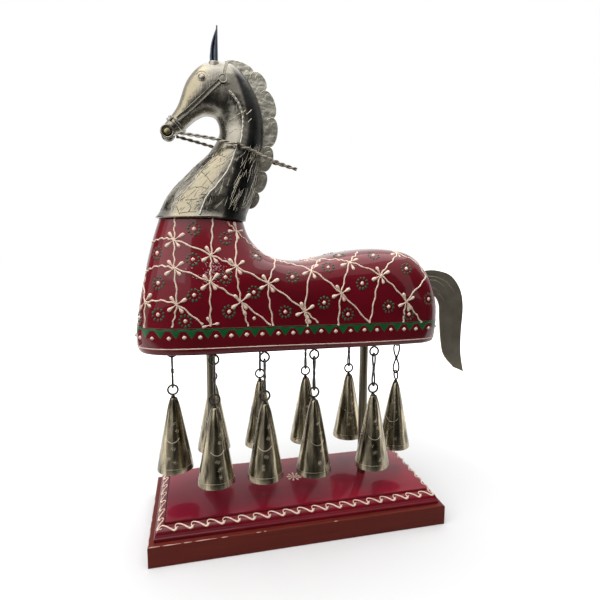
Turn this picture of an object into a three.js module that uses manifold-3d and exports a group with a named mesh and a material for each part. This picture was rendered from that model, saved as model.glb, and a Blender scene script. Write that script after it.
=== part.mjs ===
// A standing horse figurine: a lacquered wooden body on two steel posts, a sheet-metal neck
// and head, and ten rolled cone bells that hang under the body on wire links.
// Millimetres, +Z up, nose towards -X, origin at the centre of the base's underside.

import * as THREE from 'three';
import { mergeVertices } from 'three/addons/utils/BufferGeometryUtils.js';
import Module from 'manifold-3d';

const wasm = await Module();
wasm.setup();

// Clearances
const SEAT = 0.3; // between pieces that sit on or in each other
const STUMP_FIT = 0.4; // between the metal neck and the wooden stump in it
const PLAY = 0.3; // between wires that hang in each other
const CUT_MARGIN = 1; // how far a cutter reaches past what it cuts

// Base
const PLINTH_LENGTH = 200;
const PLINTH_WIDTH = 86.6;
const PLINTH_HEIGHT = 14;
const PLINTH_CHAMFER = 0.8;
const BOARD_HEIGHT = 8.7;
const BOARD_INSET = 3.5; // from the plinth's edge to the board's foot
const FOOT_HEIGHT = 2.4; // upright band at the board's foot
const FOOT_STEP = 0.8;
const PANEL_INSET = 10.1; // from the plinth's edge to the raised panel
const PANEL_RAISE = 1.3; // panel above the top of the sloping border
const GROOVE_WIDTH = 0.7;
const GROOVE_DEPTH = 0.6;

// Posts
const POST_DIAMETER = 6.3;
const POST_FRONT_X = -58.9;
const POST_REAR_X = 52.7;
const POST_IN_PLINTH = 10;
const POST_IN_BODY = 24;
const CLEAR_HEIGHT = 105; // from the panel to the body's underside

// Body
const BODY_HALF_WIDTH = 31;
const UNDERSIDE_ROUND = 3; // softened edge round the flat underside
const STUMP_HEIGHT = 30; // wooden neck that rises inside the metal one

// Raised cone work on the body
const PAINT_WIDTH = 1.5;
const PAINT_HEIGHT = 0.8;

// Neck and head
const NECK_RIM = 85.5; // rim of the metal neck above the body's underside
const NECK_HALF_WIDTH = 22.5;
const CHEEK_HALF_WIDTH = 13;
const SHELL_WALL = 1;
const SEAM = 0.3; // between the left and the right half
const TRIM = 0.9; // thickness of halter, noseband and rosettes

// Halter, bit and reins
const STRAP_WIDTH = 3;
const CROWN_STRAP_WIDTH = 2.2;
const ROSETTE_DIAMETER = 5.4;
const NOSEBAND_WIDTH = 2.6;
const BIT_DIAMETER = 8.8;
const BIT_HEIGHT = 2.6;
const REIN_WIDTH = 2.4; // two wires side by side
const REIN_THICKNESS = 1.4;
const REIN_PITCH = 9.6; // one full twist
const TIE_DIAMETER = 3.8;
const TIE_WIDTH = 2;

// Eyes, ears, mane and tail
const EYE_DIAMETER = 5;
const EAR_LENGTH = 23.5;
const EAR_WIDTH = 5;
const EAR_SHEET = 0.8;
const EAR_SPREAD = 12; // between the two ears
const MANE_SHEET = 1.2;
const MANE_BULGE = 3.8; // height of each scallop
const TAIL_SHEET = 1.2;
const TAIL_TANG = 12; // length of the tail inside the body

// Hanging bells
const ROW_SPREAD = 50.8; // between the near and the far row
const NEAR_X = [-57.8, -25.4, 8, 50.6];
const FAR_X = [-57.4, -21.8, 14, 49.6];
const FRONT_BELL_X = -84.6;
const REAR_BELL_X = 79;
const WIRE = 1.3; // diameter of screw eyes, links and bell loops
const EYE_RING_DIAMETER = 7.4;
const EYE_SHANK = 10;
const LINK_LENGTH = 24.25;
const LINK_WIDTH = 5.9;
const LOOP_DIAMETER = 7.9;
const LOOP_NECK = 1;
const BELL_LENGTH = 51;
const BELL_MOUTH_DIAMETER = 25.4;
const BELL_TOP_DIAMETER = 5.2;
const BELL_SHEET = 0.8;
const BELL_LAP = 0.7; // step where the rolled sheet laps over itself
const BELL_LAP_ANGLE = 40; // degrees over which the lap rises
const CLAPPER_WIRE = 1;
const CLAPPER_EYE_DIAMETER = 4.2;
const CLAPPER_DROP = 9; // from the bell's top to the clapper's eye
const CLAPPER_LENGTH = 26.2;
const CLAPPER_BEAD_DIAMETER = 6;

// Heights that follow
const BOARD_FOOT = PLINTH_HEIGHT + SEAT;
const PANEL_TOP = BOARD_FOOT + BOARD_HEIGHT;
const UNDERSIDE = PANEL_TOP + CLEAR_HEIGHT;

// Materials
function finish(color, metalness, roughness) {
  return new THREE.MeshStandardMaterial({ color, metalness, roughness });
}
const RED_LACQUER = finish(0x8e1420, 0, 0.25);
const DARK_RED = finish(0x6b1a1c, 0, 0.4);
const BRIGHT_SHEET = finish(0xb9b4a6, 1, 0.28);
const GREY_SHEET = finish(0x77736b, 1, 0.4);
const DARK_WIRE = finish(0x4a4744, 1, 0.4);
const BELL_METAL = finish(0x8a8268, 1, 0.35);

// Solids and meshes
function toSolid(geometry) {
  const bare = geometry.index ? geometry.toNonIndexed() : geometry.clone();
  bare.deleteAttribute('normal');
  bare.deleteAttribute('uv');
  const merged = mergeVertices(bare, 1e-4);
  const vertProperties = new Float32Array(merged.attributes.position.array);
  const corners = merged.index.array;
  const triVerts = [];
  for (let i = 0; i < corners.length; i += 3) {
    const [a, b, c] = [corners[i], corners[i + 1], corners[i + 2]];
    if (a !== b && b !== c && c !== a) triVerts.push(a, b, c);
  }
  const mesh = new wasm.Mesh({ numProp: 3, vertProperties, triVerts: new Uint32Array(triVerts) });
  return new wasm.Manifold(mesh);
}

function toGeometry(solid) {
  const { vertProperties, triVerts } = solid.getMesh();
  const geometry = new THREE.BufferGeometry();
  geometry.setAttribute('position', new THREE.BufferAttribute(vertProperties.slice(), 3));
  geometry.setIndex(new THREE.BufferAttribute(triVerts.slice(), 1));
  return geometry;
}

const unite = (...solids) => solids.reduce((whole, next) => whole.add(next));

function piece(name, shape, material) {
  const geometry = shape.isBufferGeometry ? shape : toGeometry(shape);
  geometry.computeVertexNormals();
  const mesh = new THREE.Mesh(geometry, material);
  mesh.name = name;
  return mesh;
}

// A closed solid through rings of points that all run the same way round, capped at both ends.
// A ring of a bent strip runs out along one face and back along the other.
function loft(rings, strip = false) {
  const count = rings[0].length;
  const vertices = rings.flat().flatMap((p) => [p.x, p.y, p.z]);
  const faces = [];
  for (let i = 0; i < rings.length - 1; i++) {
    const here = i * count;
    const next = here + count;
    for (let j = 0; j < count; j++) {
      const k = (j + 1) % count;
      faces.push(here + j, here + k, next + k, here + j, next + k, next + j);
    }
  }
  for (const [ring, outward] of [[rings[0], false], [rings.at(-1), true]]) {
    const start = outward ? (rings.length - 1) * count : 0;
    const cap = (a, b, c) => faces.push(a, outward ? b : c, outward ? c : b);
    if (strip) {
      for (let j = 0; j < count / 2 - 1; j++) {
        const across = start + count - 1 - j;
        cap(start + j, start + j + 1, across);
        cap(start + j + 1, across - 1, across);
      }
    } else {
      const middle = ring.reduce((sum, p) => sum.add(p), new THREE.Vector3()).divideScalar(count);
      const hub = vertices.length / 3;
      vertices.push(middle.x, middle.y, middle.z);
      for (let j = 0; j < count; j++) cap(hub, start + j, start + ((j + 1) % count));
    }
  }
  const geometry = new THREE.BufferGeometry();
  geometry.setAttribute('position', new THREE.Float32BufferAttribute(vertices, 3));
  geometry.setIndex(faces);
  return geometry;
}

function cylinder(radius, from, to, sides = 16) {
  const geometry = new THREE.CylinderGeometry(radius, radius, to - from, sides);
  return geometry.rotateX(Math.PI / 2).translate(0, 0, (from + to) / 2);
}

function turned(profile, sides) {
  const points = profile.map(([r, z]) => new THREE.Vector2(r, z));
  return new THREE.LatheGeometry(points, sides).rotateX(Math.PI / 2);
}

// A sheet in the XZ plane, centred on y = 0
function sheet(shape, thickness, curveSegments = 6) {
  const geometry = new THREE.ExtrudeGeometry(shape, {
    depth: thickness, bevelEnabled: false, curveSegments,
  });
  return geometry.rotateX(Math.PI / 2).translate(0, thickness / 2, 0);
}

function box(minX, maxX, minY, maxY, minZ, maxZ) {
  const geometry = new THREE.BoxGeometry(maxX - minX, maxY - minY, maxZ - minZ);
  return geometry.translate((minX + maxX) / 2, (minY + maxY) / 2, (minZ + maxZ) / 2);
}

// Base: a plinth with a moulded board on it
function steppedBlock(levels) {
  const rings = levels.map(([inset, z]) => {
    const x = PLINTH_LENGTH / 2 - inset;
    const y = PLINTH_WIDTH / 2 - inset;
    return [[x, y], [-x, y], [-x, -y], [x, -y]].map(([px, py]) => new THREE.Vector3(px, py, z));
  });
  return toSolid(loft(rings));
}

function postHole(x, from, to) {
  const hole = cylinder(POST_DIAMETER / 2 + SEAT, from, to, 16);
  return toSolid(hole.translate(x, 0, 0));
}

function makePlinth() {
  const floor = PLINTH_HEIGHT - POST_IN_PLINTH - SEAT;
  const block = steppedBlock([
    [0, 0],
    [0, PLINTH_HEIGHT - PLINTH_CHAMFER],
    [PLINTH_CHAMFER, PLINTH_HEIGHT],
  ]);
  return block
    .subtract(postHole(POST_FRONT_X, floor, PLINTH_HEIGHT + CUT_MARGIN))
    .subtract(postHole(POST_REAR_X, floor, PLINTH_HEIGHT + CUT_MARGIN));
}

function makeBoard() {
  const shoulder = BOARD_INSET + FOOT_STEP;
  const borderTop = PANEL_TOP - PANEL_RAISE;
  const slopeFoot = BOARD_FOOT + FOOT_HEIGHT + FOOT_STEP / 2;
  const run = PANEL_INSET - GROOVE_WIDTH - shoulder;
  const slope = [0, 22.5, 45, 67.5, 90].map((degrees) => {
    const angle = THREE.MathUtils.degToRad(degrees);
    const inset = shoulder + run * (1 - Math.cos(angle));
    return [inset, slopeFoot + (borderTop - slopeFoot) * Math.sin(angle)];
  });
  const board = steppedBlock([
    [BOARD_INSET, BOARD_FOOT],
    [BOARD_INSET, BOARD_FOOT + FOOT_HEIGHT],
    ...slope,
    [PANEL_INSET - GROOVE_WIDTH / 2, borderTop - GROOVE_DEPTH],
    [PANEL_INSET, borderTop - GROOVE_DEPTH],
    [PANEL_INSET, PANEL_TOP],
  ]);
  return board
    .subtract(postHole(POST_FRONT_X, BOARD_FOOT - CUT_MARGIN, PANEL_TOP + CUT_MARGIN))
    .subtract(postHole(POST_REAR_X, BOARD_FOOT - CUT_MARGIN, PANEL_TOP + CUT_MARGIN));
}

function makePost(x) {
  const bottom = PLINTH_HEIGHT - POST_IN_PLINTH;
  const rod = cylinder(POST_DIAMETER / 2, bottom, UNDERSIDE + POST_IN_BODY, 16);
  return rod.translate(x, 0, 0);
}

// Sections through neck and head, then through the body, in order. Each joins a point on the
// front or lower side to one on the back or upper side, [x, z] with z above the underside,
// and has a half width and a squareness: 2 is an ellipse and more is boxier.
const NECK_SECTIONS = [
  { front: [-91.1, NECK_RIM], back: [-35.4, NECK_RIM], half: NECK_HALF_WIDTH, square: 2.1 },
  { front: [-84, 99.8], back: [-28.5, 100.5], half: 20.6, square: 2 },
  { front: [-69.5, 115.8], back: [-24.8, 118], half: 17.5, square: 1.9 },
  { front: [-56, 129.5], back: [-22.6, 134], half: 14.6, square: 1.9 },
  { front: [-50.6, 141], back: [-22.3, 148], half: CHEEK_HALF_WIDTH, square: 1.9 },
  { front: [-53.2, 149.2], back: [-27, 165.5], half: CHEEK_HALF_WIDTH, square: 2 },
  { front: [-59, 150.6], back: [-41, 182.6], half: CHEEK_HALF_WIDTH, square: 2.1 },
  { front: [-64.5, 148.2], back: [-58.5, 182.4], half: 12.4, square: 2.2 },
  { front: [-69.3, 144.2], back: [-69.6, 172.4], half: 10.6, square: 2.2 },
  { front: [-74, 139.8], back: [-77, 154.4], half: 8, square: 2.2 },
  { front: [-79, 137.2], back: [-83.2, 146], half: 5.8, square: 2.2 },
  { front: [-83, 136.4], back: [-86.6, 141.6], half: 3.6, square: 2.2 },
];
const BODY_SECTIONS = [
  { front: [-94.2, 71.5], back: [-32, 72.5], half: 24.5, square: 2.3 },
  { front: [-99.6, 50], back: [-21.5, 61.8], half: 28.5, square: 2.6 },
  { front: [-104.6, 24], back: [-8, 57.8], half: BODY_HALF_WIDTH, square: 2.9 },
  { front: [-105.2, 1], back: [9, 57.7], half: BODY_HALF_WIDTH, square: 3 },
  { front: [-94, -14], back: [25, 61.6], half: BODY_HALF_WIDTH, square: 3 },
  { front: [-50, -16], back: [46, 64.9], half: BODY_HALF_WIDTH, square: 3 },
  { front: [5, -16], back: [65, 65.2], half: BODY_HALF_WIDTH, square: 3 },
  { front: [50, -15], back: [81.5, 61.8], half: 30.5, square: 3 },
  { front: [86, -14], back: [92, 52.3], half: 28.5, square: 2.8 },
  { front: [96.4, -9], back: [98.3, 39], half: 23.5, square: 2.6 },
  { front: [100.2, 0], back: [100.8, 26], half: 14, square: 2.3 },
  { front: [101.2, 11], back: [101.3, 15], half: 1.6, square: 2 },
];

// Smooth sections between the given ones
function smoothSections(sections, count) {
  const curve = (pick) => new THREE.CatmullRomCurve3(
    sections.map((s) => new THREE.Vector3(...pick(s))), false, 'centripetal',
  );
  const fronts = curve((s) => [s.front[0], 0, s.front[1]]);
  const backs = curve((s) => [s.back[0], 0, s.back[1]]);
  const widths = curve((s) => [s.half, s.square, 0]);
  return Array.from({ length: count }, (_, i) => {
    const t = i / (count - 1);
    const width = widths.getPoint(t);
    return { front: fronts.getPoint(t), back: backs.getPoint(t), half: width.x, square: width.y };
  });
}

// The ring of one section, grown outwards by an offset, or shrunk by a negative one
function sectionRing(section, offset, points) {
  const { front, back, half, square } = section;
  const centre = front.clone().add(back).multiplyScalar(0.5);
  const arm = back.clone().sub(front).multiplyScalar(0.5);
  arm.setLength(Math.max(arm.length() + offset, 0.05));
  const width = Math.max(half + offset, 0.05);
  const round = (value) => Math.sign(value) * Math.abs(value) ** (2 / square);
  return Array.from({ length: points }, (_, j) => {
    const angle = (2 * Math.PI * j) / points;
    const point = centre.clone().addScaledVector(arm, round(Math.cos(angle)));
    point.y = width * round(Math.sin(angle));
    return point;
  });
}

const NECK_STEPS = 21;
const RING_POINTS = 16;
const neckSections = smoothSections(NECK_SECTIONS, NECK_STEPS);

function headSolid(offset) {
  return toSolid(loft(neckSections.map((s) => sectionRing(s, offset, RING_POINTS))));
}

// Body: flat underside, a stump inside the metal neck, and holes for what it carries
function flattenUnderside(point) {
  const r = UNDERSIDE_ROUND;
  if (point.z < -r) point.z = 0;
  else if (point.z < r) point.z = (point.z + r) ** 2 / (4 * r);
  return point;
}

// Cone work: lines of thick paint squeezed over both sides in a lattice. Flowers are painted where
// they cross. A place is [x, z], z above the underside, and a line names the flowers on it.
const FLOWERS = {
  a: [-80, 71.3], b: [-80.2, 54.3], c: [-79.3, 32.6], z: [-98.5, 33.3], d: [-58.2, 62.4],
  e: [-59.2, 46], g: [-41.7, 77], h: [-43.4, 55.1], i: [-40.6, 33.5], j: [-23.3, 44.4],
  k: [5.5, 52.3], l: [0.2, 26.4], m: [32.4, 57.2], n: [24.5, 37.4], o: [69.8, 63.1],
  p: [52.7, 48.6], q: [71.4, 30.6],
};
const PAINT_LINES = [
  // upright ones, front to rear
  [[-97.6, 51.8], 'z', [-99, 17.5]],
  [[-79.4, 83], 'a', 'b', 'c', [-82.4, 18.5]],
  [[-56.7, 83], 'd', 'e', [-59.5, 18.7]],
  ['g', 'h', 'i', [-36.4, 17.9]],
  [[-16.6, 58.7], 'j', [-20.6, 17.7]],
  [[14.2, 58.3], 'k', 'l', [2, 16.4]],
  [[40.9, 63.3], 'm', 'n', [22.8, 16.3]],
  ['o', 'p', [44.7, 17.1]],
  [[88.5, 47.1], 'q', [69.4, 16.4]],
  // slanting ones
  [[-93.8, 69.9], 'a', 'd', 'h', 'j', 'l', [8.9, 18.6]],
  [[-97.6, 51.9], 'b', 'e', 'i', [-22.2, 18.1]],
  ['z', 'c', [-64.2, 20]],
  ['g', [-31.3, 67.6], [-17.5, 58.9], 'k', 'n', [44.7, 17.1]],
  [[5.1, 57.3], 'm', 'p', 'q', [83.5, 15.7]],
  ['o', [88.5, 47.1]],
];

// The lattice seen from the side, cut right through, with a bar for each span of a line
function paintCutters() {
  return [-1, 1].flatMap((side) => PAINT_LINES.flatMap((line) => {
    const stops = line.map((stop) => FLOWERS[stop] ?? stop);
    return stops.slice(1).map((stop, i) => sideBar(stops[i], stop, PAINT_WIDTH, side));
  }));
}

function makeBody() {
  const inset = -(SHELL_WALL + STUMP_FIT);
  const stump = neckSections.filter((s) => s.front.z < NECK_RIM + STUMP_HEIGHT).reverse();
  const rim = NECK_SECTIONS[0];
  const shrunkRim = {
    front: [rim.front[0] - inset, rim.front[1]],
    back: [rim.back[0] + inset, rim.back[1]],
    half: rim.half + inset,
    square: rim.square,
  };
  const below = smoothSections([shrunkRim, ...BODY_SECTIONS], 21);
  const skin = (offset) => below.map((s) => sectionRing(s, offset, RING_POINTS).map(flattenUnderside));
  const rings = [
    ...stump.map((s) => sectionRing(s, inset, RING_POINTS)),
    ...skin(0).slice(1),
  ];
  const paint = toSolid(loft(skin(PAINT_HEIGHT).reverse())).intersect(unite(...paintCutters()));
  let body = toSolid(loft(rings.reverse())).add(paint);
  for (const x of [POST_FRONT_X, POST_REAR_X]) {
    body = body.subtract(postHole(x, -CUT_MARGIN, POST_IN_BODY + SEAT));
  }
  for (const { x, y } of bellPlaces) {
    const pilot = cylinder(WIRE / 2 + SEAT, -CUT_MARGIN, EYE_SHANK + SEAT, 6);
    body = body.subtract(toSolid(pilot.translate(x, y, 0)));
  }
  const [foot, head] = TAIL_ROOT;
  const halfSlot = TAIL_SHEET / 2 + SEAT;
  const slotEnd = TAIL_LEAVES_BODY - TAIL_TANG - SEAT;
  const slotMouth = TAIL_LEAVES_BODY + TAIL_TANG;
  const slot = box(slotEnd, slotMouth, -halfSlot, halfSlot, foot - SEAT, head + SEAT);
  return body.subtract(toSolid(slot));
}

// Neck and head: a hollow shell in two halves with a solid muzzle
const MUZZLE_START = 17;

function neckShell(side) {
  const inner = neckSections.slice(0, MUZZLE_START).map((s) => sectionRing(s, -SHELL_WALL, RING_POINTS));
  const below = inner[0].map((p) => p.clone().setZ(NECK_RIM - CUT_MARGIN));
  const shell = headSolid(0).subtract(toSolid(loft([below, ...inner])));
  const low = shell.boundingBox().min.map((value) => value - CUT_MARGIN);
  const high = shell.boundingBox().max.map((value) => value + CUT_MARGIN);
  const [from, to] = side > 0 ? [low[1], SEAM / 2] : [-SEAM / 2, high[1]];
  return shell.subtract(toSolid(box(low[0], high[0], from, to, low[2], high[2])));
}

// Trim that lies on the head: the head grown by the trim's thickness, inside a cutter
function trimOnHead(cutter, thickness = TRIM) {
  return headSolid(SEAT + thickness).intersect(cutter).subtract(headSolid(SEAT));
}

// A cutter for trim on one side of the head: how far it reaches, and its gap to the middle
const SIDE_REACH = 2 * NECK_HALF_WIDTH;
const SIDE_GAP = 0.8;

// A straight bar in the XZ plane between two points, through everything on one side
function sideBar(from, to, width, side) {
  const length = Math.hypot(to[0] - from[0], to[1] - from[1]);
  const bar = new THREE.BoxGeometry(length, SIDE_REACH, width);
  bar.rotateY(-Math.atan2(to[1] - from[1], to[0] - from[0]));
  const middle = side * (SIDE_GAP + SIDE_REACH / 2);
  bar.translate((from[0] + to[0]) / 2, middle, (from[1] + to[1]) / 2);
  return toSolid(bar);
}

function sideRod(centre, radius, side, sides = 16) {
  const rod = cylinder(radius, SIDE_GAP, SIDE_REACH, sides).rotateX(-side * Math.PI / 2);
  return toSolid(rod.translate(centre[0], 0, centre[1]));
}

const STRAP_FOOT = [-76.2, 145.7];
const ROSETTE = [-48.8, 170.2];
const POLL = [-44.2, 186];

function makeHalter(side) {
  const strap = sideBar(STRAP_FOOT, ROSETTE, STRAP_WIDTH, side);
  const crown = sideBar(ROSETTE, POLL, CROWN_STRAP_WIDTH, side);
  const rosette = sideRod(ROSETTE, ROSETTE_DIAMETER / 2, side);
  return trimOnHead(unite(strap, crown, rosette));
}

const NOSEBAND = [-78.6, 144.6];
const NOSEBAND_REACH = 24; // past the muzzle, but short of the cheeks
const MUZZLE_TILT = THREE.MathUtils.degToRad(51.7);

function makeNoseband() {
  const band = new THREE.BoxGeometry(NOSEBAND_WIDTH, NOSEBAND_REACH, NOSEBAND_REACH);
  band.rotateY(-MUZZLE_TILT);
  return trimOnHead(toSolid(band.translate(NOSEBAND[0], 0, NOSEBAND[1])));
}

// Bit ring: a cupped washer with a rounded rim and a middle stud, seated on the muzzle
const BIT = [-83, 138.6];
const BIT_SEAT_Y = 3.8;

function makeBit(side) {
  const r = BIT_DIAMETER / 2;
  const back = BIT_SEAT_Y;
  const face = back + BIT_HEIGHT;
  const washer = turned([
    [0, back], [r * 0.8, back], [r, face - 1.2], [r * 0.84, face],
    [r * 0.62, face - 0.4], [r * 0.5, face - 1.1], [r * 0.3, face - 0.3], [0, face],
  ], 16);
  washer.rotateX(-side * Math.PI / 2).translate(BIT[0], 0, BIT[1]);
  return toSolid(washer).subtract(headSolid(SEAT));
}

// Reins: a twisted pair of wires on each side, from the bit past the neck to one common end
const REIN_ROUTE = [
  [-78, -6.2, 138],
  [-65.6, -10, 136],
  [-55.5, -13.4, 134.2],
  [-48, -15.4, 132.4],
  [-40, -17.4, 130.2],
  [-32, -15.6, 128.2],
  [-24.6, -10.6, 126],
  [-16.2, -5, 124.1],
  [-7.5, -1.4, 121.7],
  [0.8, -0.2, 119.5],
];
const REIN_STEP = 1.6;
const TIE_POINT = 4; // which point of the route the two wires are wound together at

function makeReins() {
  const strand = (side) => {
    const route = new THREE.CatmullRomCurve3(
      REIN_ROUTE.map(([x, y, z]) => new THREE.Vector3(x, -side * y, z)),
    );
    const steps = Math.round(route.getLength() / REIN_STEP);
    const rings = Array.from({ length: steps + 1 }, (_, i) => {
      const centre = route.getPointAt(i / steps);
      const along = route.getTangentAt(i / steps);
      const across = new THREE.Vector3(0, 1, 0).cross(along).normalize();
      const upward = along.clone().cross(across);
      const twist = (-2 * Math.PI * i * REIN_STEP) / REIN_PITCH;
      return Array.from({ length: 4 }, (_, j) => {
        const angle = (2 * Math.PI * j) / 4;
        const wide = (REIN_WIDTH / 2) * Math.cos(angle);
        const thin = (REIN_THICKNESS / 2) * Math.sin(angle);
        return centre.clone()
          .addScaledVector(across, wide * Math.cos(twist) - thin * Math.sin(twist))
          .addScaledVector(upward, wide * Math.sin(twist) + thin * Math.cos(twist));
      });
    });
    return toSolid(loft(rings));
  };
  const tie = (side) => {
    const [x, y, z] = REIN_ROUTE[TIE_POINT];
    const winding = cylinder(TIE_DIAMETER / 2, -TIE_WIDTH / 2, TIE_WIDTH / 2, 10);
    return toSolid(winding.rotateY(Math.PI / 2).translate(x, -side * y, z));
  };
  return unite(strand(1), strand(-1), tie(1), tie(-1));
}

// Eyes and ears
const EYE = [-61.4, 170.5];
const EYE_FLATNESS = 0.8;
const EYE_SUNK = 0.3; // the ball's centre inside the cheek's surface

function makeEye(side) {
  const ball = new THREE.SphereGeometry(EYE_DIAMETER / 2, 10, 6);
  const cheek = surfaceY(EYE[0], EYE[1]);
  ball.scale(1, EYE_FLATNESS, 1).translate(EYE[0], side * (cheek - EYE_SUNK), EYE[1]);
  return toSolid(ball).subtract(headSolid(SEAT));
}

// How far out the head's side is at a point of its profile
function surfaceY(x, z) {
  const head = new THREE.Mesh(toGeometry(headSolid(0)), new THREE.MeshBasicMaterial());
  const ray = new THREE.Raycaster(new THREE.Vector3(x, 60, z), new THREE.Vector3(0, -1, 0));
  return ray.intersectObject(head)[0].point.y;
}

const EAR_BACK_EDGE = -51.2;
const EAR_FOOT = 180.4;
const EAR_TAPER_START = 0.35; // share of its length over which the ear stays full
const COLLAR_BELOW = 3;
const COLLAR_ABOVE = 1.6;
const COLLAR_PROUD = 0.5;

function makeEar(side) {
  const opening = side > 0 ? 0.75 * Math.PI : -0.75 * Math.PI;
  const arc = THREE.MathUtils.degToRad(105);
  const rings = [0, 0.3, 0.5, 0.68, 0.85, 1].map((u) => {
    const past = Math.max(0, (u - EAR_TAPER_START) / (1 - EAR_TAPER_START));
    const taper = 1 - past ** 1.6;
    const radius = Math.max((EAR_WIDTH / 2) * taper, EAR_SHEET * 0.6);
    const inner = Math.max(radius - EAR_SHEET, EAR_SHEET / 5);
    const centre = EAR_BACK_EDGE - radius;
    const turn = (k) => opening + Math.PI + (k / 4 - 0.5) * 2 * arc;
    const at = (r, angle) => new THREE.Vector3(
      centre + r * Math.cos(angle),
      (side * EAR_SPREAD) / 2 + r * Math.sin(angle),
      EAR_FOOT + u * EAR_LENGTH,
    );
    const outside = [0, 1, 2, 3, 4].map((k) => at(radius, turn(k)));
    const inside = [4, 3, 2, 1, 0].map((k) => at(inner, turn(k)));
    return [...outside, ...inside];
  });
  const collarRadius = EAR_WIDTH / 2 + COLLAR_PROUD;
  const collar = cylinder(collarRadius, EAR_FOOT - COLLAR_BELOW, EAR_FOOT + COLLAR_ABOVE, 12);
  collar.translate(EAR_BACK_EDGE - EAR_WIDTH / 2, (side * EAR_SPREAD) / 2, 0);
  return unite(toSolid(loft(rings, true)), toSolid(collar)).subtract(headSolid(SEAT));
}

// Mane: a scalloped plate on the back seam. The points lie between the scallops.
const MANE_NOTCHES = [
  [-47.8, 184], [-28.2, 180.2], [-20.6, 169.3], [-15, 152],
  [-17.4, 133.2], [-21.3, 117], [-26, 103], [-32.5, 92.5],
];

const MANE_FULLNESS = 0.08; // how much of its length each scallop's bend leans inwards
const MANE_ROOT = 3; // depth of the plate's root, before it is cut to the neck

function makeMane() {
  const root = MANE_NOTCHES.at(-1)[1] - MANE_ROOT;
  const shape = new THREE.Shape();
  shape.moveTo(MANE_NOTCHES[0][0], MANE_NOTCHES[0][1]);
  for (let i = 1; i < MANE_NOTCHES.length; i++) {
    const [x0, z0] = MANE_NOTCHES[i - 1];
    const [x1, z1] = MANE_NOTCHES[i];
    const chord = Math.hypot(x1 - x0, z1 - z0);
    const outX = -(z1 - z0) / chord;
    const outZ = (x1 - x0) / chord;
    const reach = (MANE_BULGE * 4) / 3;
    shape.bezierCurveTo(
      x0 + outX * reach + (x1 - x0) * MANE_FULLNESS, z0 + outZ * reach + (z1 - z0) * MANE_FULLNESS,
      x1 + outX * reach - (x1 - x0) * MANE_FULLNESS, z1 + outZ * reach - (z1 - z0) * MANE_FULLNESS,
      x1, z1,
    );
  }
  for (const s of neckSections.filter((n) => n.back.x > MANE_NOTCHES[0][0] && n.back.z > root)) {
    shape.lineTo(s.back.x - MANE_ROOT, s.back.z - CUT_MARGIN);
  }
  return toSolid(sheet(shape, MANE_SHEET)).subtract(headSolid(SEAT));
}

// Tail: a flat curved blade with a tang in the body
const TAIL_ROOT = [30, 48.6];
const TAIL_LEAVES_BODY = 101;
const TAIL_SHOULDER = 5; // straight top edge of the blade inside the body
const TAIL_OUTER = [[110, 49.3], [121.4, 45.5], [129.8, 35.3], [133.1, 22.7], [132.6, -1], [136.4, -31]];
const TAIL_INNER = [[127.4, -27], [118.4, -16.5], [115.2, -4], [113.4, 13], [112.4, 23.5]];
const TAIL_FOOT_X = 108;

function makeTail() {
  const [foot, head] = TAIL_ROOT;
  const tang = TAIL_LEAVES_BODY - TAIL_TANG;
  const shape = new THREE.Shape();
  shape.moveTo(tang, foot);
  shape.lineTo(tang, head);
  shape.lineTo(TAIL_LEAVES_BODY - TAIL_SHOULDER, head);
  for (const edge of [TAIL_OUTER, [...TAIL_INNER, [TAIL_FOOT_X, foot]]]) {
    shape.splineThru(edge.map(([x, z]) => new THREE.Vector2(x, z)));
  }
  shape.closePath();
  return toSolid(sheet(shape, TAIL_SHEET, 2));
}

// Hanging chain, with heights below the body's underside
const EYE_RADIUS = (EYE_RING_DIAMETER - WIRE) / 2;
const EYE_CENTRE = -SEAT - EYE_RING_DIAMETER / 2;
const EYE_LOW = EYE_CENTRE - EYE_RADIUS;
const LINK_TOP = EYE_LOW + WIRE + PLAY;
const LINK_BOTTOM = LINK_TOP - (LINK_LENGTH - WIRE);
const LOOP_TOP = LINK_BOTTOM + WIRE + PLAY;
const LOOP_RADIUS = (LOOP_DIAMETER - WIRE) / 2;
const LOOP_CENTRE = LOOP_TOP - LOOP_RADIUS;
const BELL_TOP = LOOP_CENTRE - LOOP_DIAMETER / 2 - LOOP_NECK;
const HOOK_RADIUS = (CLAPPER_EYE_DIAMETER - CLAPPER_WIRE) / 2;
const HOOK_CENTRE = BELL_TOP - CLAPPER_DROP;
const HOOK_LOW = HOOK_CENTRE - HOOK_RADIUS;
const CLAPPER_CENTRE = HOOK_LOW + CLAPPER_WIRE + PLAY - HOOK_RADIUS;
const LINK_FULLNESS = 1.3; // how round the teardrop eyes are
const CROWN_THICKNESS = 1.2; // of the bell's closed top
const SHOULDER_HEIGHT = 0.6; // bevel round the bell's top
const SHOULDER_INSET = 0.5;
const SEAM_SLIT = 0.004; // radians that the rolled sheet's two ends are apart

// A wire ring that stands in the XZ plane
function wireRing(radius, wire, z, steps, sides = 6) {
  const ring = new THREE.TorusGeometry(radius, wire / 2, sides, steps);
  return ring.rotateX(Math.PI / 2).translate(0, 0, z);
}

function makeScrewEye() {
  const ring = toSolid(wireRing(EYE_RADIUS, WIRE, EYE_CENTRE, 10, 5));
  const shank = cylinder(WIRE / 2, EYE_CENTRE + EYE_RADIUS, EYE_SHANK, 6);
  return toGeometry(ring.add(toSolid(shank)));
}

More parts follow.
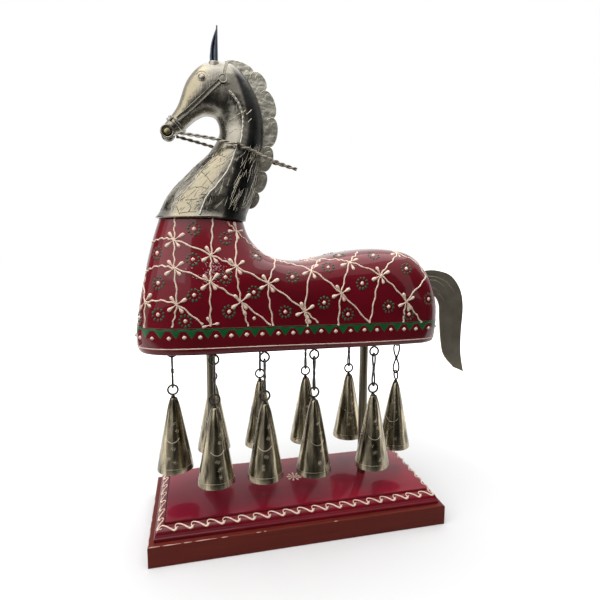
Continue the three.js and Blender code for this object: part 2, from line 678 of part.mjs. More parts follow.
// Link: wire bent into two teardrop eyes that meet in the middle, in the YZ plane
function makeLink() {
  const middle = (LINK_TOP + LINK_BOTTOM) / 2;
  const reach = (LINK_TOP - LINK_BOTTOM) / 2;
  const half = LINK_WIDTH / 2 - WIRE / 2;
  const r = WIRE / 2;
  const teardrop = (angle) => [half * Math.sin(angle) * Math.sin(angle / 2) * LINK_FULLNESS,
    (reach * (1 - Math.cos(angle))) / 2];
  const offset = (angle, by) => {
    const [x0, z0] = teardrop(angle - 0.01);
    const [x1, z1] = teardrop(angle + 0.01);
    const length = Math.hypot(x1 - x0, z1 - z0);
    const [x, z] = teardrop(angle);
    return [x + (by * (z1 - z0)) / length, z - (by * (x1 - x0)) / length];
  };
  const spread = (from, count) => Array.from({ length: count },
    (_, i) => from + ((2 * Math.PI - 2 * from) * i) / (count - 1));
  const outer = spread(0.5, 9).map((angle) => offset(angle, r));
  const hole = spread(0.9, 7).map((angle) => offset(angle, -r)).reverse();
  const place = ([x, z], up) => new THREE.Vector2(up * x, middle + up * z);
  const shape = new THREE.Shape([...outer.map((p) => place(p, 1)), ...outer.map((p) => place(p, -1))]);
  shape.holes = [1, -1].map((up) => new THREE.Path(hole.map((p) => place(p, up))));
  const bevel = r * 0.5;
  const geometry = new THREE.ExtrudeGeometry(shape, {
    depth: WIRE - 2 * bevel, bevelThickness: bevel, bevelSize: bevel, bevelOffset: -bevel,
    bevelSegments: 1,
  });
  geometry.rotateX(Math.PI / 2).translate(0, WIRE / 2 - bevel, 0);
  return toGeometry(toSolid(geometry.rotateZ(Math.PI / 2)));
}

// Bell: sheet rolled to a cone with its edge lapped over, on a wire loop with a hook inside
function makeBell() {
  const sides = 14;
  const mouth = BELL_TOP - BELL_LENGTH;
  const outerRadius = (z) => THREE.MathUtils.mapLinear(
    z, BELL_TOP, mouth, BELL_TOP_DIAMETER / 2, BELL_MOUTH_DIAMETER / 2 - BELL_LAP,
  );
  const lapAngle = THREE.MathUtils.degToRad(BELL_LAP_ANGLE);
  const ring = (z, radius, lapped) => Array.from({ length: sides + 1 }, (_, j) => {
    const angle = (2 * Math.PI * j) / sides;
    const rise = lapped ? Math.max(0, 1 - (2 * Math.PI - angle) / lapAngle) : 0;
    const r = radius + BELL_LAP * rise;
    const seam = j === sides ? -SEAM_SLIT : 0;
    return new THREE.Vector3(r * Math.cos(angle + seam), r * Math.sin(angle + seam), z);
  });
  const crown = BELL_TOP - CROWN_THICKNESS;
  const skirt = (z, lapped) => ring(z, outerRadius(z) - (lapped ? 0 : BELL_SHEET), lapped);
  const outside = loft([skirt(mouth, true), skirt(BELL_TOP - SHOULDER_HEIGHT, true),
    ring(BELL_TOP, outerRadius(BELL_TOP) - SHOULDER_INSET, true)]);
  const inside = loft([skirt(mouth - CUT_MARGIN, false), skirt(crown, false)]);
  const loop = toSolid(wireRing(LOOP_RADIUS, WIRE, LOOP_CENTRE, 10, 5));
  const neck = toSolid(cylinder(WIRE * 0.65, HOOK_CENTRE + HOOK_RADIUS, LOOP_CENTRE - LOOP_RADIUS, 5));
  const hook = toSolid(wireRing(HOOK_RADIUS, CLAPPER_WIRE, HOOK_CENTRE, 8, 4));
  const cone = toSolid(outside).subtract(toSolid(inside));
  return toGeometry(unite(cone, loop, neck, hook));
}

function makeClapper() {
  const eye = wireRing(HOOK_RADIUS, CLAPPER_WIRE, CLAPPER_CENTRE, 8, 4).rotateZ(Math.PI / 2);
  const r = CLAPPER_BEAD_DIAMETER / 2;
  const top = CLAPPER_CENTRE - HOOK_RADIUS;
  const low = top + HOOK_RADIUS * 2 + CLAPPER_WIRE / 2 - CLAPPER_LENGTH - r / 2;
  const stem = turned([[0, low], [r * 0.9, low + r * 0.5], [r, low + r], [r * 0.7, low + r * 1.7],
    [CLAPPER_WIRE / 2, low + r * 2], [CLAPPER_WIRE / 2, top], [0, top]], 6);
  return toGeometry(toSolid(eye).add(toSolid(stem)));
}

// Where the bells hang: two rows along the sides and one at each end, the rear one turned
const bellPlaces = [
  ...NEAR_X.map((x, i) => ({ name: `near_${i + 1}`, x, y: -ROW_SPREAD / 2, turn: 0 })),
  ...FAR_X.map((x, i) => ({ name: `far_${i + 1}`, x, y: ROW_SPREAD / 2, turn: 0 })),
  { name: 'front', x: FRONT_BELL_X, y: 0, turn: 0 },
  { name: 'rear', x: REAR_BELL_X, y: 0, turn: Math.PI / 2 },
];

// Assembly
const figurine = new THREE.Group();
figurine.add(piece('base_plinth', makePlinth(), DARK_RED));
figurine.add(piece('base_board', makeBoard(), RED_LACQUER));
figurine.add(piece('post_front', makePost(POST_FRONT_X), DARK_WIRE));
figurine.add(piece('post_rear', makePost(POST_REAR_X), DARK_WIRE));

const horse = new THREE.Group();
horse.position.z = UNDERSIDE;
figurine.add(horse);
horse.add(piece('body', makeBody(), RED_LACQUER));
horse.add(piece('mane', makeMane(), BRIGHT_SHEET));
horse.add(piece('noseband', makeNoseband(), BRIGHT_SHEET));
horse.add(piece('reins', makeReins(), GREY_SHEET));
horse.add(piece('tail', makeTail(), GREY_SHEET));
for (const [hand, side] of [['left', -1], ['right', 1]]) {
  horse.add(piece(`neck_shell_${hand}`, neckShell(side), BRIGHT_SHEET));
  horse.add(piece(`eye_${hand}`, makeEye(side), BRIGHT_SHEET));
  horse.add(piece(`ear_${hand}`, makeEar(side), GREY_SHEET));
  horse.add(piece(`halter_${hand}`, makeHalter(side), GREY_SHEET));
  horse.add(piece(`bit_ring_${hand}`, makeBit(side), BRIGHT_SHEET));
}

for (const { name, x, y, turn } of bellPlaces) {
  const chain = new THREE.Group();
  chain.position.set(x, y, 0);
  chain.rotation.z = turn;
  chain.add(piece(`screw_eye_${name}`, makeScrewEye(), DARK_WIRE));
  chain.add(piece(`link_${name}`, makeLink(), DARK_WIRE));
  chain.add(piece(`bell_${name}`, makeBell(), BELL_METAL));
  chain.add(piece(`clapper_${name}`, makeClapper(), DARK_WIRE));
  horse.add(chain);
}

export default figurine;
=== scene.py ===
# A lacquered wooden horse with a sheet-metal neck and head. It stands on two steel posts over a
# moulded base, and ten rolled cone bells hang under its body on wire links.
import math
import random

import bmesh
import bpy
from mathutils import Matrix, Vector
from mathutils.bvhtree import BVHTree


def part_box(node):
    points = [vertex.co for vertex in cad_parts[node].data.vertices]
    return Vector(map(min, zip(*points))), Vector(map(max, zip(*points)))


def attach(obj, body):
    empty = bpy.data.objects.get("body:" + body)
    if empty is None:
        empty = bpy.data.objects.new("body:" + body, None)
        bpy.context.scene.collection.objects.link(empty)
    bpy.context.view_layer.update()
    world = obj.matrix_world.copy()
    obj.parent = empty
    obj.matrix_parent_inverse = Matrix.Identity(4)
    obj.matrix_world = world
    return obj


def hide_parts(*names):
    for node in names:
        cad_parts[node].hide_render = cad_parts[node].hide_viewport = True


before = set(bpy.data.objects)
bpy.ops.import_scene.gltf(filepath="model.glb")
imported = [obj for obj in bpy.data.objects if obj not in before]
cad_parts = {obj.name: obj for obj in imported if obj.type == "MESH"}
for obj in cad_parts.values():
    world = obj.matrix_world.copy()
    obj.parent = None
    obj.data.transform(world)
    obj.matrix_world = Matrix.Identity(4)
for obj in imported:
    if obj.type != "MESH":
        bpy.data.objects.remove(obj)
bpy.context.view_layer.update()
scene = bpy.context.scene

# Camera
# A phone held a hand's width above the withers and about 30 cm away, so the near side is large
# and the base shows its top. It looks a little left and down.
MM = 0.001
CAMERA_PLACE = Vector((-67.4, -318.9, 202.1)) * MM
CAMERA_YAW = math.radians(-13.81)
CAMERA_PITCH = math.radians(7.27)
CAMERA_ROLL = math.radians(0.47)
LENS_LENGTH = 27.876
SENSOR_WIDTH = 36
FRAME_SHIFT = (-0.0167, -0.007)
NEAREST_SEEN = 10

camera = bpy.data.objects.new("camera", bpy.data.cameras.new("camera"))
scene.collection.objects.link(camera)
camera.data.lens = LENS_LENGTH
camera.data.sensor_width = SENSOR_WIDTH
camera.data.clip_start = NEAREST_SEEN * MM
camera.data.shift_x, camera.data.shift_y = FRAME_SHIFT
back = Vector((
    math.sin(CAMERA_YAW) * math.cos(CAMERA_PITCH),
    -math.cos(CAMERA_YAW) * math.cos(CAMERA_PITCH),
    math.sin(CAMERA_PITCH),
))
level = Vector((math.cos(CAMERA_YAW), math.sin(CAMERA_YAW), 0))
upright = back.cross(level)
right = level * math.cos(CAMERA_ROLL) + upright * math.sin(CAMERA_ROLL)
up = upright * math.cos(CAMERA_ROLL) - level * math.sin(CAMERA_ROLL)
turn = Matrix((right, up, back)).transposed().to_4x4()
camera.matrix_world = Matrix.Translation(CAMERA_PLACE) @ turn
scene.camera = camera
scene.view_settings.view_transform = "Standard"

# Studio
# A white floor in a white room with large soft lamps above. Dark cards stand out of view behind
# the camera and beside it. They give the metal its dark bands and leave the lacquer deep.


def linear(code):
    """The linear colour of an sRGB hex code."""
    shares = [int(code[i:i + 2], 16) / 255 for i in (0, 2, 4)]
    return [s / 12.92 if s <= 0.04045 else ((s + 0.055) / 1.055) ** 2.4 for s in shares] + [1]


def add(tree, kind, inputs=None, **settings):
    """Adds a node. An input is a plain value or another node's output socket."""
    made = tree.nodes.new(kind)
    for key, value in settings.items():
        setattr(made, key, value)
    for key, value in (inputs or {}).items():
        if isinstance(value, bpy.types.NodeSocket):
            tree.links.new(value, made.inputs[key])
        else:
            made.inputs[key].default_value = value
    return made


world = bpy.data.worlds.new("studio")
scene.world = world
world.use_nodes = True
sky = world.node_tree
sky.nodes.clear()
ray = add(sky, "ShaderNodeLightPath")
direction = add(sky, "ShaderNodeTexCoord")
split = add(sky, "ShaderNodeSeparateXYZ", {0: direction.outputs["Generated"]})
room = add(sky, "ShaderNodeMapRange", {
    "Value": split.outputs["Z"], "From Min": -0.1, "From Max": 0.9, "To Min": 0.06, "To Max": 0.75,
}, interpolation_type="SMOOTHSTEP")
camera_or_metal = add(sky, "ShaderNodeMath", {
    0: ray.outputs["Is Camera Ray"], 1: ray.outputs["Is Glossy Ray"],
}, operation="MAXIMUM")
seen = add(sky, "ShaderNodeMath", {
    0: camera_or_metal.outputs[0], 1: ray.outputs["Is Transmission Ray"],
}, operation="MAXIMUM")
strength = add(sky, "ShaderNodeMix", {
    "Factor": seen.outputs[0], "A": room.outputs[0], "B": 1.0,
})
background = add(sky, "ShaderNodeBackground", {
    "Color": linear("ffffff"), "Strength": strength.outputs[0],
})
add(sky, "ShaderNodeOutputWorld", {"Surface": background.outputs[0]})

LAMPS = (
    # name, place in mm, size in mm, watts
    ("key", (-560, -440, 900), 1300, 9.5),
    ("top", (60, 120, 1000), 1000, 7.0),
)
LAMP_TARGET = Vector((0, 0, 150)) * MM
for name, place, size, watts in LAMPS:
    lamp = bpy.data.lights.new(name, "AREA")
    lamp.energy = watts
    lamp.size = size * MM
    holder = bpy.data.objects.new(name, lamp)
    holder.location = Vector(place) * MM
    aim = LAMP_TARGET - holder.location
    holder.rotation_euler = aim.to_track_quat("-Z", "Y").to_euler()
    scene.collection.objects.link(holder)


def make_piece(name, vertices, faces, material, sharp=35):
    """A smooth mesh object with creases where faces meet at more than the sharp angle."""
    mesh = bpy.data.meshes.new(name)
    mesh.from_pydata([tuple(v) for v in vertices], [], faces)
    mesh.shade_smooth()
    mesh.set_sharp_from_angle(angle=math.radians(sharp))
    mesh.materials.append(material)
    made = bpy.data.objects.new(name, mesh)
    scene.collection.objects.link(made)
    return made


def new_material(name):
    """A material with a single shader, and its tree."""
    made = bpy.data.materials.new(name)
    made.use_nodes = True
    tree = made.node_tree
    return made, tree, tree.nodes["Principled BSDF"]


# The lit floor near the object shows its shadow, and fades to plain white away from it. The part
# in front is dark in the object's reflections, as a table beside the photographer would be.
matt_floor, tree, shader = new_material("matt_white_floor")
shader.inputs["Roughness"].default_value = 0.9
ray = add(tree, "ShaderNodeLightPath")
where = add(tree, "ShaderNodeTexCoord")
place = add(tree, "ShaderNodeSeparateXYZ", {0: where.outputs["Object"]})
in_front = add(tree, "ShaderNodeMapRange", {
    "Value": place.outputs["Y"], "From Min": -130 * MM, "From Max": -200 * MM,
})
in_reflection = add(tree, "ShaderNodeMath", {
    0: in_front.outputs[0], 1: ray.outputs["Is Camera Ray"],
}, operation="SUBTRACT", use_clamp=True)
white_or_grey = add(tree, "ShaderNodeMix", {
    "Factor": ray.outputs["Is Diffuse Ray"], "A": linear("e8e8e8"), "B": linear("7c7c7c"),
}, data_type="RGBA")
floor_tone = add(tree, "ShaderNodeMix", {
    "Factor": in_reflection.outputs[0], "A": white_or_grey.outputs["Result"], "B": linear("2b2926"),
}, data_type="RGBA")
tree.links.new(floor_tone.outputs["Result"], shader.inputs["Base Color"])
away = add(tree, "ShaderNodeVectorMath", {0: where.outputs["Object"]}, operation="LENGTH")
fade = add(tree, "ShaderNodeMapRange", {
    "Value": away.outputs["Value"], "From Min": 160 * MM, "From Max": 400 * MM,
}, interpolation_type="SMOOTHSTEP")
dimmed = add(tree, "ShaderNodeMath", {
    0: in_reflection.outputs[0], 1: ray.outputs["Is Diffuse Ray"],
}, operation="MAXIMUM")
plain_white = add(tree, "ShaderNodeMath", {
    0: fade.outputs[0], 1: dimmed.outputs[0],
}, operation="SUBTRACT", use_clamp=True)
tree.links.new(plain_white.outputs[0], shader.inputs["Emission Strength"])
shader.inputs["Emission Color"].default_value = linear("ffffff")
SQUARE = ((-1, -1), (1, -1), (1, 1), (-1, 1))
FLOOR_HALF = 3.0  # metres
FLOOR_DROP = 0.02 * MM
floor = make_piece(
    "studio_floor",
    [(x * FLOOR_HALF, y * FLOOR_HALF, -FLOOR_DROP) for x, y in SQUARE],
    [(0, 1, 2, 3)],
    matt_floor,
)

# The cards are there for reflections alone, and the camera looks through them.
dark_card, tree, shader = new_material("dark_grey_card")
shader.inputs["Base Color"].default_value = linear("2b2926")
shader.inputs["Roughness"].default_value = 0.9
ray = add(tree, "ShaderNodeLightPath")
clear = add(tree, "ShaderNodeBsdfTransparent")
unseen = add(tree, "ShaderNodeMixShader", {
    0: ray.outputs["Is Camera Ray"], 1: shader.outputs[0], 2: clear.outputs[0],
})
tree.links.new(unseen.outputs[0], tree.nodes["Material Output"].inputs["Surface"])
CARDS = (
    # name, centre in mm, half width and half height in mm; all face the object
    ("card_behind_camera", (90, -640, 260), 330, 300),
    ("card_at_right", (520, -240, 260), 190, 300),
    ("card_at_left", (-560, -150, 120), 70, 160),
    ("card_far_left", (-420, 200, 220), 110, 240),
)
for name, centre, half_wide, half_high in CARDS:
    middle = Vector(centre) * MM
    facing = Vector((-middle.x, -middle.y, 0)).normalized()
    along = Vector((0, 0, 1)).cross(facing)
    corners = [
        middle + (along * a * half_wide + Vector((0, 0, b * half_high))) * MM for a, b in SQUARE
    ]
    card = make_piece(name, corners, [(0, 1, 2, 3)], dark_card)

# Plinth
# A plain hardwood slab under the board, planed square with its upper edges rounded. It is stained
# red and brushed with a satin lacquer.


def lacquer_grain(tree, length_mm, width_mm):
    """Streaks along X, as wood grain that shows through a coat."""
    where = add(tree, "ShaderNodeTexCoord")
    stretch = add(tree, "ShaderNodeMapping", {
        "Vector": where.outputs["Object"],
        "Scale": (1000 / length_mm, 1000 / width_mm, 1000 / width_mm),
    })
    return add(tree, "ShaderNodeTexNoise", {
        "Vector": stretch.outputs[0], "Scale": 1.0, "Detail": 4.0,
    })


# Stain takes unevenly under a thin coat, so darker streaks run along the grain with a low sheen.
satin_red, tree, shader = new_material("brushed_satin_lacquer")
grain = lacquer_grain(tree, length_mm=26, width_mm=2.2)
stain = add(tree, "ShaderNodeMix", {
    "Factor": grain.outputs[0], "A": linear("531813"), "B": linear("6f281d"),
}, data_type="RGBA")
tree.links.new(stain.outputs["Result"], shader.inputs["Base Color"])
shader.inputs["Roughness"].default_value = 0.5
shader.inputs["Specular IOR Level"].default_value = 0.18


def ring_faces(rings, corners, looped=False):
    """Faces between rings of as many corners each. Looped, the last ring meets the first."""
    faces = []
    for i in range(rings if looped else rings - 1):
        n = (i + 1) % rings
        for j in range(corners):
            k = (j + 1) % corners
            faces.append((i * corners + j, i * corners + k, n * corners + k, n * corners + j))
    return faces


def solid_faces(rings, corners, flip=False):
    """The faces of a solid through rings of corners, with a flat one at each end."""
    first = tuple(reversed(range(corners)))
    last = tuple(range((rings - 1) * corners, rings * corners))
    faces = [first, *ring_faces(rings, corners), last]
    return [tuple(reversed(face)) for face in faces] if flip else faces


def stepped_block(name, levels, material, sharp=30):
    """A rectangular moulding: each level is a half length, a half width and a height in mm."""
    vertices = [
        Vector((x * half_x, y * half_y, z)) * MM
        for half_x, half_y, z in levels for x, y in ((1, 1), (-1, 1), (-1, -1), (1, -1))
    ]
    return make_piece(name, vertices, solid_faces(len(levels), 4), material, sharp)


plinth_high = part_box("base_plinth")[1] / MM
half_length, half_width = plinth_high.x, plinth_high.y
EDGE_ROUND = 1.1
EDGE_STEPS = 6
FOOT_CHAMFER = 0.3
CHAMFER_HEIGHT = 0.4
edge = [
    (EDGE_ROUND * (1 - math.cos(a)), EDGE_ROUND * (1 - math.sin(a)))
    for a in (math.radians(90 * step / EDGE_STEPS) for step in range(EDGE_STEPS + 1))
]
levels = [
    (half_length - FOOT_CHAMFER, half_width - FOOT_CHAMFER, 0),
    (half_length, half_width, CHAMFER_HEIGHT),
]
levels += [(half_length - inset, half_width - inset, plinth_high.z - drop) for inset, drop in edge]
plinth = stepped_block("plinth", levels, satin_red)
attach(plinth, "figurine")
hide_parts("base_plinth")

# Board
# A hardwood board moulded all round, glued on the plinth: a square foot, a swelling border and
# a raised flat panel inside a fine groove. It is sprayed with gloss lacquer and polished.


def gloss_lacquer(name, streak, low, high, coat):
    """A clouded red under clear coats, with the grain showing a little."""
    made, tree, shader = new_material(name)
    grain = lacquer_grain(tree, length_mm=40, width_mm=9)
    where = add(tree, "ShaderNodeTexCoord")
    cloud = add(tree, "ShaderNodeTexNoise", {
        "Vector": where.outputs["Object"], "Scale": 1000 / 60, "Detail": 3.0,
    })
    patches = add(tree, "ShaderNodeMapRange", {
        "Value": cloud.outputs[0], "From Min": 0.38, "From Max": 0.62,
    })
    depth = add(tree, "ShaderNodeMix", {
        "Factor": patches.outputs[0], "A": linear(low), "B": linear(high),
    }, data_type="RGBA")
    tone = add(tree, "ShaderNodeMix", {
        "Factor": grain.outputs[0], "A": depth.outputs["Result"], "B": linear(streak),
    }, data_type="RGBA")
    tree.links.new(tone.outputs["Result"], shader.inputs["Base Color"])
    shader.inputs["Roughness"].default_value = 0.4
    shader.inputs["Specular IOR Level"].default_value = 0.1
    shader.inputs["Coat Weight"].default_value = coat
    shader.inputs["Coat IOR"].default_value = 1.36
    shader.inputs["Coat Roughness"].default_value = 0.05
    orange_peel = add(tree, "ShaderNodeTexNoise", {
        "Vector": where.outputs["Object"], "Scale": 1000 / 12, "Detail": 1.0,
    })
    ripple = add(tree, "ShaderNodeBump", {
        "Height": orange_peel.outputs[0], "Strength": 0.05, "Distance": 1 * MM,
    })
    tree.links.new(ripple.outputs[0], shader.inputs["Coat Normal"])
    return made


# Clear coats polished over dyed red: clouded depth under a small sharp highlight. It is on the
# body and the moulding, and a brighter red is on the flat panel.
gloss_red = gloss_lacquer("polished_gloss_lacquer", "5f0a17", "670b19", "870f23", coat=0.8)
panel_red = gloss_lacquer("polished_panel_lacquer", "720a22", "790a26", "ad1233", coat=0.45)

PANEL_INSET = 10.1
PANEL_RISE = 1.3
PANEL_EDGE = 0.35
BORDER_START = 4.3
BORDER_FOOT = 2.8
SWELL_STEPS = 18
GROOVE = 0.7
GROOVE_DEPTH = 0.6
FOOT_EDGE = 2.1
FOOT_TOP = 2.4
board_low, board_high = (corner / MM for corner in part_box("base_board"))
foot_inset = half_width - board_high.y
panel_top = board_high.z
border_top = panel_top - PANEL_RISE
border_foot = board_low.z + BORDER_FOOT


def inset_level(inset, z):
    """A level of the board, at a distance in from the plinth's edge."""
    return half_length - inset, half_width - inset, z


levels = [
    inset_level(foot_inset, board_low.z),
    inset_level(foot_inset, board_low.z + FOOT_EDGE),
    inset_level(foot_inset + 0.3, board_low.z + FOOT_TOP),
    inset_level(BORDER_START - 0.2, board_low.z + FOOT_TOP + 0.05),
]
for step in range(SWELL_STEPS + 1):
    swell = math.radians(90 * step / SWELL_STEPS)
    run = PANEL_INSET - GROOVE - BORDER_START
    levels.append(inset_level(
        BORDER_START + run * (1 - math.cos(swell)),
        border_foot + (border_top - border_foot) * math.sin(swell),
    ))
levels += [
    inset_level(PANEL_INSET - GROOVE * 0.6, border_top - GROOVE_DEPTH),
    inset_level(PANEL_INSET, border_top - GROOVE_DEPTH),
    inset_level(PANEL_INSET, panel_top - PANEL_EDGE),
    inset_level(PANEL_INSET + 0.1, panel_top - 0.1),
    inset_level(PANEL_INSET + PANEL_EDGE, panel_top),
]
board = stepped_block("moulded_board", levels, gloss_red, sharp=25)
board.data.materials.append(panel_red)
board.data.polygons[len(board.data.polygons) - 1].material_index = 1
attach(board, "figurine")
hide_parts("base_board")

# Painted scroll and flower on the base
# Thick cream paint squeezed from a paper cone: one running S-scroll all round the border and a
# small flower in the middle of the panel. It dries as a rounded raised line.


def mottled(name, low, high, patch_mm, detail, roughness, metallic=0.0):
    """A finish that drifts between two tones, in patches of about the given size."""
    made, tree, shader = new_material(name)
    where = add(tree, "ShaderNodeTexCoord")
    patches = add(tree, "ShaderNodeTexNoise", {
        "Vector": where.outputs["Object"], "Scale": 1000 / patch_mm, "Detail": detail,
    })
    tone = add(tree, "ShaderNodeMix", {
        "Factor": patches.outputs[0], "A": linear(low), "B": linear(high),
    }, data_type="RGBA")
    tree.links.new(tone.outputs["Result"], shader.inputs["Base Color"])
    shader.inputs["Roughness"].default_value = roughness
    shader.inputs["Metallic"].default_value = metallic
    return made


# Thick paint dries to a soft sheen, and the red beneath tints it a little pink in places.
cream_paint = mottled(
    "raised_cream_cone_paint", "efc9bb", "ecdcc2", patch_mm=14, detail=2.0, roughness=0.38)


def new_tree(name, sockets):
    """A Geometry Nodes tree with the named inputs, and the sockets' identifiers."""
    made = bpy.data.node_groups.new(name, "GeometryNodeTree")
    made.interface.new_socket(name="Geometry", in_out="OUTPUT", socket_type="NodeSocketGeometry")
    made.interface.new_socket(name="Geometry", in_out="INPUT", socket_type="NodeSocketGeometry")
    keys = {
        label: made.interface.new_socket(
            name=label, in_out="INPUT", socket_type=f"NodeSocket{kind}").identifier
        for label, kind in sockets.items()
    }
    return made, keys


def grow(seed, tree_and_keys, values):
    """Runs a tree on the seed object and keeps what it makes as a plain mesh."""
    tree, keys = tree_and_keys
    modifier = seed.modifiers.new("grow", "NODES")
    modifier.node_group = tree
    for label, value in values.items():
        modifier[keys[label]] = value
    bpy.context.view_layer.update()
    graph = bpy.context.evaluated_depsgraph_get()
    grown = bpy.data.meshes.new_from_object(seed.evaluated_get(graph))
    seed.modifiers.remove(modifier)
    seed.data = grown
    return seed


paint_line = new_tree("paint_line", {"Width": "Float", "Sides": "Int", "Material": "Material"})
tree = paint_line[0]
entry = add(tree, "NodeGroupInput")
half = add(tree, "ShaderNodeMath", {0: entry.outputs["Width"], 1: 0.5}, operation="MULTIPLY")
profile = add(tree, "GeometryNodeCurvePrimitiveCircle", {
    "Resolution": entry.outputs["Sides"], "Radius": half.outputs[0],
})
strokes = add(tree, "GeometryNodeMeshToCurve", {"Mesh": entry.outputs["Geometry"]})
fatness = add(tree, "GeometryNodeInputNamedAttribute", {"Name": "fat"}, data_type="FLOAT")
bead = add(tree, "GeometryNodeCurveToMesh", {
    "Curve": strokes.outputs[0], "Profile Curve": profile.outputs[0],
    "Scale": fatness.outputs[0], "Fill Caps": True,
})
smooth = add(tree, "GeometryNodeSetShadeSmooth", {"Geometry": bead.outputs[0]})
real = add(tree, "GeometryNodeRealizeInstances", {"Geometry": smooth.outputs[0]})
painted = add(tree, "GeometryNodeSetMaterial", {
    "Geometry": real.outputs[0], "Material": entry.outputs["Material"],
})
add(tree, "NodeGroupOutput", {"Geometry": painted.outputs[0]})


def draw_lines(name, strokes, width, material, sides=8):
    """Raised paint lines. A stroke is a list of (place in metres, share of the full width)."""
    mesh = bpy.data.meshes.new(name)
    points, edges, fat = [], [], []
    for stroke in strokes:
        start = len(points)
        points += [place for place, _ in stroke]
        fat += [share for _, share in stroke]
        edges += [(start + i, start + i + 1) for i in range(len(stroke) - 1)]
    mesh.from_pydata(points, edges, [])
    mesh.attributes.new("fat", "FLOAT", "POINT").data.foreach_set("value", fat)
    seed = bpy.data.objects.new(name, mesh)
    scene.collection.objects.link(seed)
    return grow(seed, paint_line, {"Width": width * MM, "Sides": sides, "Material": material})


stamp_tree = new_tree("stamp", {"Motif": "Object", "Material": "Material"})
tree = stamp_tree[0]
entry = add(tree, "NodeGroupInput")
motif = add(tree, "GeometryNodeObjectInfo", {"Object": entry.outputs["Motif"]})
lift = add(tree, "GeometryNodeInputNamedAttribute", {"Name": "outward"}, data_type="FLOAT_VECTOR")
heading = add(tree, "GeometryNodeInputNamedAttribute", {"Name": "along"}, data_type="FLOAT_VECTOR")
growth = add(tree, "GeometryNodeInputNamedAttribute", {"Name": "scale"}, data_type="FLOAT")
facing = add(tree, "FunctionNodeAxesToRotation", {
    "Primary Axis": lift.outputs[0], "Secondary Axis": heading.outputs[0],
}, primary_axis="Z", secondary_axis="X")
copies = add(tree, "GeometryNodeInstanceOnPoints", {
    "Points": entry.outputs["Geometry"], "Instance": motif.outputs["Geometry"],
    "Rotation": facing.outputs[0], "Scale": growth.outputs[0],
})
real = add(tree, "GeometryNodeRealizeInstances", {"Geometry": copies.outputs[0]})
painted = add(tree, "GeometryNodeSetMaterial", {
    "Geometry": real.outputs[0], "Material": entry.outputs["Material"],
})
add(tree, "NodeGroupOutput", {"Geometry": painted.outputs[0]})


def stamp(name, motif, places, material):
    """Copies of a motif. A place is (place in metres, outward, along, size)."""
    mesh = bpy.data.meshes.new(name)
    mesh.from_pydata([place for place, _, _, _ in places], [], [])
    for label, index in (("outward", 1), ("along", 2)):
        values = [number for place in places for number in place[index]]
        mesh.attributes.new(label, "FLOAT_VECTOR", "POINT").data.foreach_set("vector", values)
    sizes = [place[3] for place in places]
    mesh.attributes.new("scale", "FLOAT", "POINT").data.foreach_set("value", sizes)
    seed = bpy.data.objects.new(name, mesh)
    scene.collection.objects.link(seed)
    return grow(seed, stamp_tree, {"Motif": motif, "Material": material})


PAINT_SINK = 0.15


def blob(name, length, width, height, stem=None):
    """A low round bead of paint, or with a stem's width, a drop drawn out from X = 0."""
    rings, across = (11, 7) if stem else (8, 7)
    vertices = []
    for i in range(rings):
        share = (1 - math.cos(math.pi * i / (rings - 1))) / 2
        x = length * share
        round_end = math.sqrt(max(0, 1 - max(0, (x - length + width / 2) / (width / 2)) ** 2))
        if stem:
            # thin for 0.3 of its length, and full from 0.75 on
            swell = min(1, max(0, (share - 0.3) / 0.45))
            half = (stem + (width - stem) * swell * swell * (3 - 2 * swell)) / 2 * round_end
            rise = height * (0.6 + 0.4 * swell) * round_end
        else:
            x -= length / 2
            half = width / 2 * math.sin(math.pi * share)
            rise = height * math.sin(math.pi * share)
        for j in range(across):
            turn = math.pi * j / (across - 1)
            spot = Vector((x, half * math.cos(turn), rise * math.sin(turn) - PAINT_SINK))
            vertices.append(spot * MM)
    made = make_piece(name, vertices, solid_faces(rings, across), cream_paint, sharp=70)
    made.hide_render = True
    made.hide_viewport = True
    return made


RAY_START = 60  # how far off a ray starts, mm


def land(surface, origin, toward):
    """Where a ray meets a surface: its place, and the outward direction there."""
    place, outward, _, _ = surface.ray_cast(origin, toward)
    if place is None:
        place, outward, _, _ = surface.find_nearest(origin + toward * (RAY_START * MM))
    return place, outward


def surface_of(made):
    """The faces of a finished mesh, for rays to land on."""
    mesh = made.data
    return BVHTree.FromPolygons(
        [v.co for v in mesh.vertices], [p.vertices[:] for p in mesh.polygons])


def through(points, t):
    """A point on the centripetal curve through given points, at a share of its spans."""
    last = len(points) - 1
    span = min(int(t * last), last - 1)
    w = t * last - span
    p1, p2 = points[span], points[span + 1]
    p0 = points[span - 1] if span else 2 * p1 - p2
    p3 = points[span + 2] if span + 2 <= last else 2 * p2 - p1
    d0, d1, d2 = (
        max((b - a).length, 1e-6) ** 0.5 for a, b in ((p0, p1), (p1, p2), (p2, p3))
    )
    start = ((p1 - p0) / d0 - (p2 - p0) / (d0 + d1)) * d1 + p2 - p1
    end = p2 - p1 + ((p3 - p2) / d2 - (p3 - p1) / (d1 + d2)) * d1
    return (
        p1 + start * w
        + (3 * (p2 - p1) - 2 * start - end) * w ** 2
        + (2 * (p1 - p2) + start + end) * w ** 3
    )


board_surface = surface_of(board)
SCROLL_PITCH = 10.0
SCROLL_WIDTH = 1.05
SCROLL_SHIFT = 0.4
SCROLL_STEPS = 30
SCROLL_OUTLINE = (
    # along and inward from the middle in mm, share of the full width
    (-3.5, -0.1, 0.5), (-4.4, -0.5, 0.55), (-5.2, 0.2, 0.6), (-5.0, 1.4, 0.65), (-3.9, 2.0, 0.75),
    (-2.3, 1.6, 0.85), (0.2, 0.3, 0.9), (2.6, -1.1, 1.0), (4.2, -1.5, 1.3), (5.2, -1.0, 1.7),
    (5.2, -0.4, 1.3),
)


